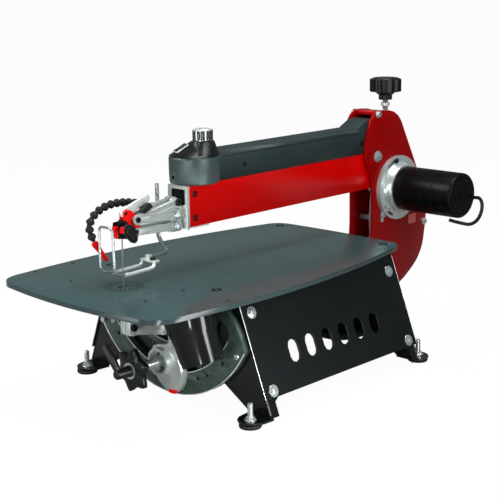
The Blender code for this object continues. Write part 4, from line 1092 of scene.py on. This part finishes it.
def star_knob():
    """A six-cornered rim with a flank that narrows to the round hub in front."""
    turn = math.radians(20)
    rim = lobes(33.4, 8.4, count=6, per=24, sharp=0.6, phase=turn)
    hub = lobes(10.4, 0.0, count=6, per=24, phase=turn)
    work = bmesh.new()
    rings = []
    for share, height, scale in STAR_STATIONS:
        ring = []
        for a, b in zip(rim, hub):
            x, y = ((a[k] * share + b[k] * (1 - share)) * scale for k in range(2))
            ring.append(work.verts.new((x, y, height)))
        rings.append(ring)
    skin(work, rings)
    work.faces.new(rings[0][::-1])
    work.faces.new(rings[-1])
    return faces_out(work)


STAR_HUB = [(0, -4.6), (9.4, -4.6), (10.2, -4.9), (10.2, -5.6), (0, -5.6)]
star = place_all([star_knob(), lathe(STAR_HUB, 64)], TILT_AXIS)
piece("tilt_star_knob", star, "knob_plastic", "tilt_knob", replaces="tilt_knob", smooth=50)
dress("tilt_pinion", "steel", 0.4, 2)
washer = lathe([(8.7, -4.7), (12.2, -4.7), (12.2, -4.2), (8.7, -4.2)], 48, True)
piece("tilt_knob_washer", place(washer, TILT_AXIS), "steel", "tilt_knob")

LOCK_HUB = [
    (0, -4.3), (8.4, -4.3), (8.4, -2.0), (7.8, 0.6), (7.2, 18.6), (6.6, 20.4), (5.2, 21.0),
    (0, 21.0),
]
LOCK_GRIP = [(0.5, -13.8, -127), (-4.5, -15.6, -117.4), (-13.0, -18.4, -101.5), (-22.6, -20.8, -86.4)]
path = smooth_path(LOCK_GRIP)
swell = [1.0 + 0.42 * min(1, i / (len(path) * 0.55)) for i in range(len(path))]
lock = [place(lathe(LOCK_HUB, 56), TILT_AXIS), sweep(path, 4.2, 22, swell)]
piece("tilt_lock_grip", lock, "black_plastic", "lock_lever", 0.9, replaces="tilt_lock_lever")

# ---------------------------------------------------------------- lower blade holder and rods
dress("lower_blade_holder", "cast_silver", 0.6, 2)
clamp = place_all([
    prism(lobes(5.1, 0.4, count=18, per=6), 10.7, 14.6),
    lathe([(0, 16.0), (2.6, 16.0), (3.9, 15.7), (4.5, 14.9), (4.6, 14.4), (0, 14.4)], 40),
    disc(2.5, 1.4, 11.0, 24),
], along_x(5.5, -60.0))
piece("lower_clamp_head", clamp, "dark_steel", "lower_clamp", 0.3, replaces="lower_clamp_knob")
# a thin dark sheet on the clamp head's end: painted shade in its screw slot
slot = block(16.0, 16.15, 2.2, 8.8, -60.6, -59.4)
piece("lower_clamp_painted_slot_shade", slot, "hole", "lower_clamp")

for node, finish in (
    ("eccentric_shaft", "steel"), ("rear_rocker", "steel"), ("connecting_rod", "cast_silver"),
    ("upper_push_rod", "steel"), ("lower_push_rod", "steel"),
):
    dress(node, finish, 0.5, 2)

# ---------------------------------------------------------------- hold-down
STEM = [(-15, 81, 133.6), (-15, 81, 110), (-15, 81, 70)]
STEM_HOOK = [
    (-15, 81, 57), (-14.7, 85.6, 48), (-14.2, 91.4, 39.6), (-13.2, 94.2, 34.6),
    (-11.2, 91.2, 32.2), (-8.4, 80, 31.8), (-6.4, 70, 31.9), (-4.2, 57.6, 32.2),
]
stem = sweep(STEM + smooth_path(STEM_HOOK, 6), 2.95, 20)
piece("hold_down_stem", stem, "wire", "hold_down", replaces="hold_down_rod")

FORK_BAR = ((-6, 18.9), (16, 19.6), (38, 20.3), (43.6, 21.4), (46.4, 24.2), (47.0, 28.6))  # y, z
fork = [
    sweep(smooth_path([(x, y, z) for y, z in FORK_BAR], 5), 2.8, 20) for x in (-12.6, 12.6)
]
fork.append(prism(rounded_rect(-15.4, 15.4, 43.7, 55.8, 3.0), 27.3, 30.1))
fork.append(block(-8, 0, 48.7, 55.1, 29.0, 35.8))
piece("hold_foot_fork", fork, "silver_light", "hold_foot", 0.5, replaces="hold_down_foot")

GUARD = [
    (-12.2, -3, 20.5), (-13.4, -13, 21.2), (-14.8, -20.6, 22.8), (-16.2, -24.6, 26),
    (-17.0, -26, 32), (-17.2, -26, 50), (-17.2, -26, 76), (-16.8, -26, 83), (-13.4, -26, 87.2),
    (-7, -26, 87.9), (2, -26, 88), (8, -26, 87.2), (11.2, -26, 83), (11.8, -26, 76),
    (12.4, -25.8, 40), (12.6, -25, 28), (12.5, -21.6, 22.4), (12.4, -15, 20.6), (12.2, -3, 20),
]
piece("hold_foot_guard", sweep(smooth_path(GUARD, 5), 1.85), "wire", "hold_foot")
screw = [disc(4.4, 30.0, 30.9, 28), cap_screw(3.3, 3.4, 1.7, base=30.9)]
piece("hold_foot_screw", place_all(screw, shift(6.4, 50.2)), "dark_steel", "hold_foot")
tips = [sweep([(x, -7.6, 19.3), (x, -1.0, 19.5)], 3.0, 20) for x in (-12.4, 12.4)]
piece("hold_foot_ends", tips, "silver_light", "hold_foot", 0.6)

# ---------------------------------------------------------------- air hose and nozzle
HOSE = smooth_path([
    (-24, 73.9, 98), (-24.4, 69, 98.6), (-26, 62, 102.6), (-28, 53, 107.2), (-28, 37, 111),
    (-28, 20, 112.8), (-28, 4.5, 112.5), (-28, -8, 109.9), (-28, -20.8, 104.6),
    (-28, -29.5, 97), (-28, -34, 88), (-28, -33, 78), (-28, -28.4, 66.8),
], 10)
BEAD_COUNT = 13
lengths = [0.0]
for a, b in zip(HOSE, HOSE[1:]):
    lengths.append(lengths[-1] + (b - a).length)


def hose_at(distance):
    """The point and direction of the hose at a distance from its start."""
    i = max(k for k in range(len(lengths) - 1) if lengths[k] <= distance)
    share = (distance - lengths[i]) / (lengths[i + 1] - lengths[i])
    return HOSE[i].lerp(HOSE[i + 1], share), (HOSE[i + 1] - HOSE[i]).normalized()


pitch = lengths[-1] / BEAD_COUNT
half = pitch * 0.5
BEAD = [
    (0, half + 1.2), (2.6, half + 1.2), (3.2, half + 0.2), (3.4, half * 0.66),
    (5.2, half * 0.46), (6.0, half * 0.2), (6.0, -half * 0.2), (5.3, -half * 0.46),
    (4.2, -half * 0.72), (3.4, -half - 0.2), (0, -half - 0.2),
]
beads = [place(lathe(BEAD, 28), aim(*hose_at(pitch * (i + 0.5)))) for i in range(BEAD_COUNT)]
piece("air_hose_beads", beads, "rubber", "arm", replaces="air_hose", smooth=50)

NOZZLE_START, NOZZLE_END = Vector((-27.3, -27.0, 62.4)), Vector((-27, -6.2, 34.2))
way = NOZZLE_END - NOZZLE_START
reach = way.length
NOZZLE = [
    (0, 0), (4.7, 0), (5.0, 0.8), (4.9, 5.0), (4.5, 7.4), (4.0, 12.0), (3.3, reach * 0.7),
    (2.7, reach - 0.6), (2.4, reach), (1.5, reach), (1.4, reach - 5), (0, reach - 5),
]
nozzle = place(lathe(NOZZLE, 40), aim(NOZZLE_START, way.normalized()))
piece("air_nozzle_cone", nozzle, "red_plastic", "arm", replaces="air_nozzle")


# ---------------------------------------------------------------- stage (metres from here on)
def pale_floor():
    """Looks close to white to the camera and keeps a faint shadow."""
    material, tree, shader = new_material("pale_floor")
    noise = add_node(tree, "TexNoise", {"Scale": 3.0})
    ramp = add_ramp(tree, (0.30, 0.30, 0.30, 1), (0.33, 0.33, 0.33, 1))
    link(noise, "Fac", ramp, "Fac")
    link(ramp, "Color", shader, "Base Color")
    shader.inputs["Roughness"].default_value = 0.9
    shader.inputs["Specular IOR Level"].default_value = 0.05
    glow = add_node(tree, "Emission", {"Color": (1, 1, 1, 1), "Strength": 1.07})
    lift = add_node(tree, "MixShader")
    path = add_node(tree, "LightPath")
    share = add_node(tree, "Math", {1: 0.9}, operation="MULTIPLY")  # share of glow
    link(path, "Is Camera Ray", share, 0)
    link(share, "Value", lift, "Fac")
    link(shader, "BSDF", lift, 1)
    link(glow, "Emission", lift, 2)
    link(lift, "Shader", tree.nodes["Material Output"], "Surface")
    return material


def build_floor():
    mesh = bpy.data.meshes.new("studio_floor")
    work = bmesh.new()
    bmesh.ops.create_grid(work, x_segments=8, y_segments=8, size=30.0)
    work.to_mesh(mesh)
    work.free()
    floor = bpy.data.objects.new("studio_floor", mesh)
    bpy.context.scene.collection.objects.link(floor)
    floor.location = (0, 0, -0.0004)  # just under the feet
    mesh.materials.append(pale_floor())


def build_world():
    """Near white to the camera, a dim fill to everything else."""
    world = bpy.data.worlds.new("studio")
    bpy.context.scene.world = world
    world.use_nodes = True
    tree = world.node_tree
    fill = tree.nodes["Background"]
    fill.inputs["Color"].default_value = (0.92, 0.94, 0.95, 1)
    fill.inputs["Strength"].default_value = 0.2
    path = add_node(tree, "LightPath")
    white = add_node(tree, "Background", {"Color": (0.99, 0.99, 0.99, 1)})
    mix = add_node(tree, "MixShader")
    link(path, "Is Camera Ray", mix, "Fac")
    link(fill, "Background", mix, 1)
    link(white, "Background", mix, 2)
    link(mix, "Shader", tree.nodes["World Output"], "Surface")


def area(name, where, target, width, height, power):
    """A rectangular light at where, facing target; power in watts."""
    data = bpy.data.lights.new(name, "AREA")
    data.shape = "RECTANGLE"
    data.size = width
    data.size_y = height
    data.energy = power
    light = bpy.data.objects.new(name, data)
    bpy.context.scene.collection.objects.link(light)
    light.location = where
    facing = Vector(target) - Vector(where)
    light.rotation_euler = facing.to_track_quat("-Z", "Y").to_euler()
    return light


# name, place, target, width, height, power
LIGHTS = (
    ("key", (-1.1, -1.4, 1.7), (0, 0, 0.2), 0.8, 0.8, 28),
    ("top", (0.2, 0.1, 2.0), (0, 0, 0.2), 1.1, 1.1, 30),
    ("right", (1.7, -0.2, 0.9), (0, 0, 0.25), 0.34, 1.4, 16),
    ("front_low", (0.5, -1.9, 0.5), (0, -0.1, 0.15), 0.22, 1.0, 10),
)
# small lights close to the saw, hidden from the camera
CARDS = (
    ("port_left_card", (0.36, -0.50, 0.06), (0.12, -0.25, 0.085), 0.035, 0.22, 0.8),
    ("port_right_card", (0.40, -0.20, 0.06), (0.12, -0.25, 0.085), 0.08, 0.22, 1.0),
    ("lower_fill_card", (-0.12, -0.78, 0.09), (0.0, -0.22, 0.07), 0.14, 0.24, 0.8),
)

CAMERA_EYE = (1252.56, -1050.16, 424.94)  # mm, blade frame
CAMERA_AZIMUTH = math.radians(43.79)  # from the front towards the right
CAMERA_ELEVATION = math.radians(13.0)
CAMERA_ROLL = math.radians(-0.76)


def build_camera():
    data = bpy.data.cameras.new("camera")
    camera = bpy.data.objects.new("camera", data)
    bpy.context.scene.collection.objects.link(camera)
    data.sensor_width = 36.0
    data.lens = 86.27
    data.clip_start = 0.05
    data.clip_end = 60.0
    level = math.cos(CAMERA_ELEVATION)
    back = Vector((
        math.sin(CAMERA_AZIMUTH) * level,
        -math.cos(CAMERA_AZIMUTH) * level,
        math.sin(CAMERA_ELEVATION),
    ))
    right = Vector((math.cos(CAMERA_AZIMUTH), math.sin(CAMERA_AZIMUTH), 0))
    upward = back.cross(right)
    cos_roll, sin_roll = math.cos(CAMERA_ROLL), math.sin(CAMERA_ROLL)
    rolled_right = right * cos_roll + upward * sin_roll
    rolled_up = -right * sin_roll + upward * cos_roll
    camera.matrix_world = axes(rolled_right, rolled_up, back, DATUM @ Vector(CAMERA_EYE))
    bpy.context.scene.camera = camera


build_floor()
build_world()
for row in LIGHTS:
    area(*row)
for row in CARDS:
    area(*row).visible_camera = False
build_camera()
bpy.context.scene.view_settings.view_transform = "Standard"
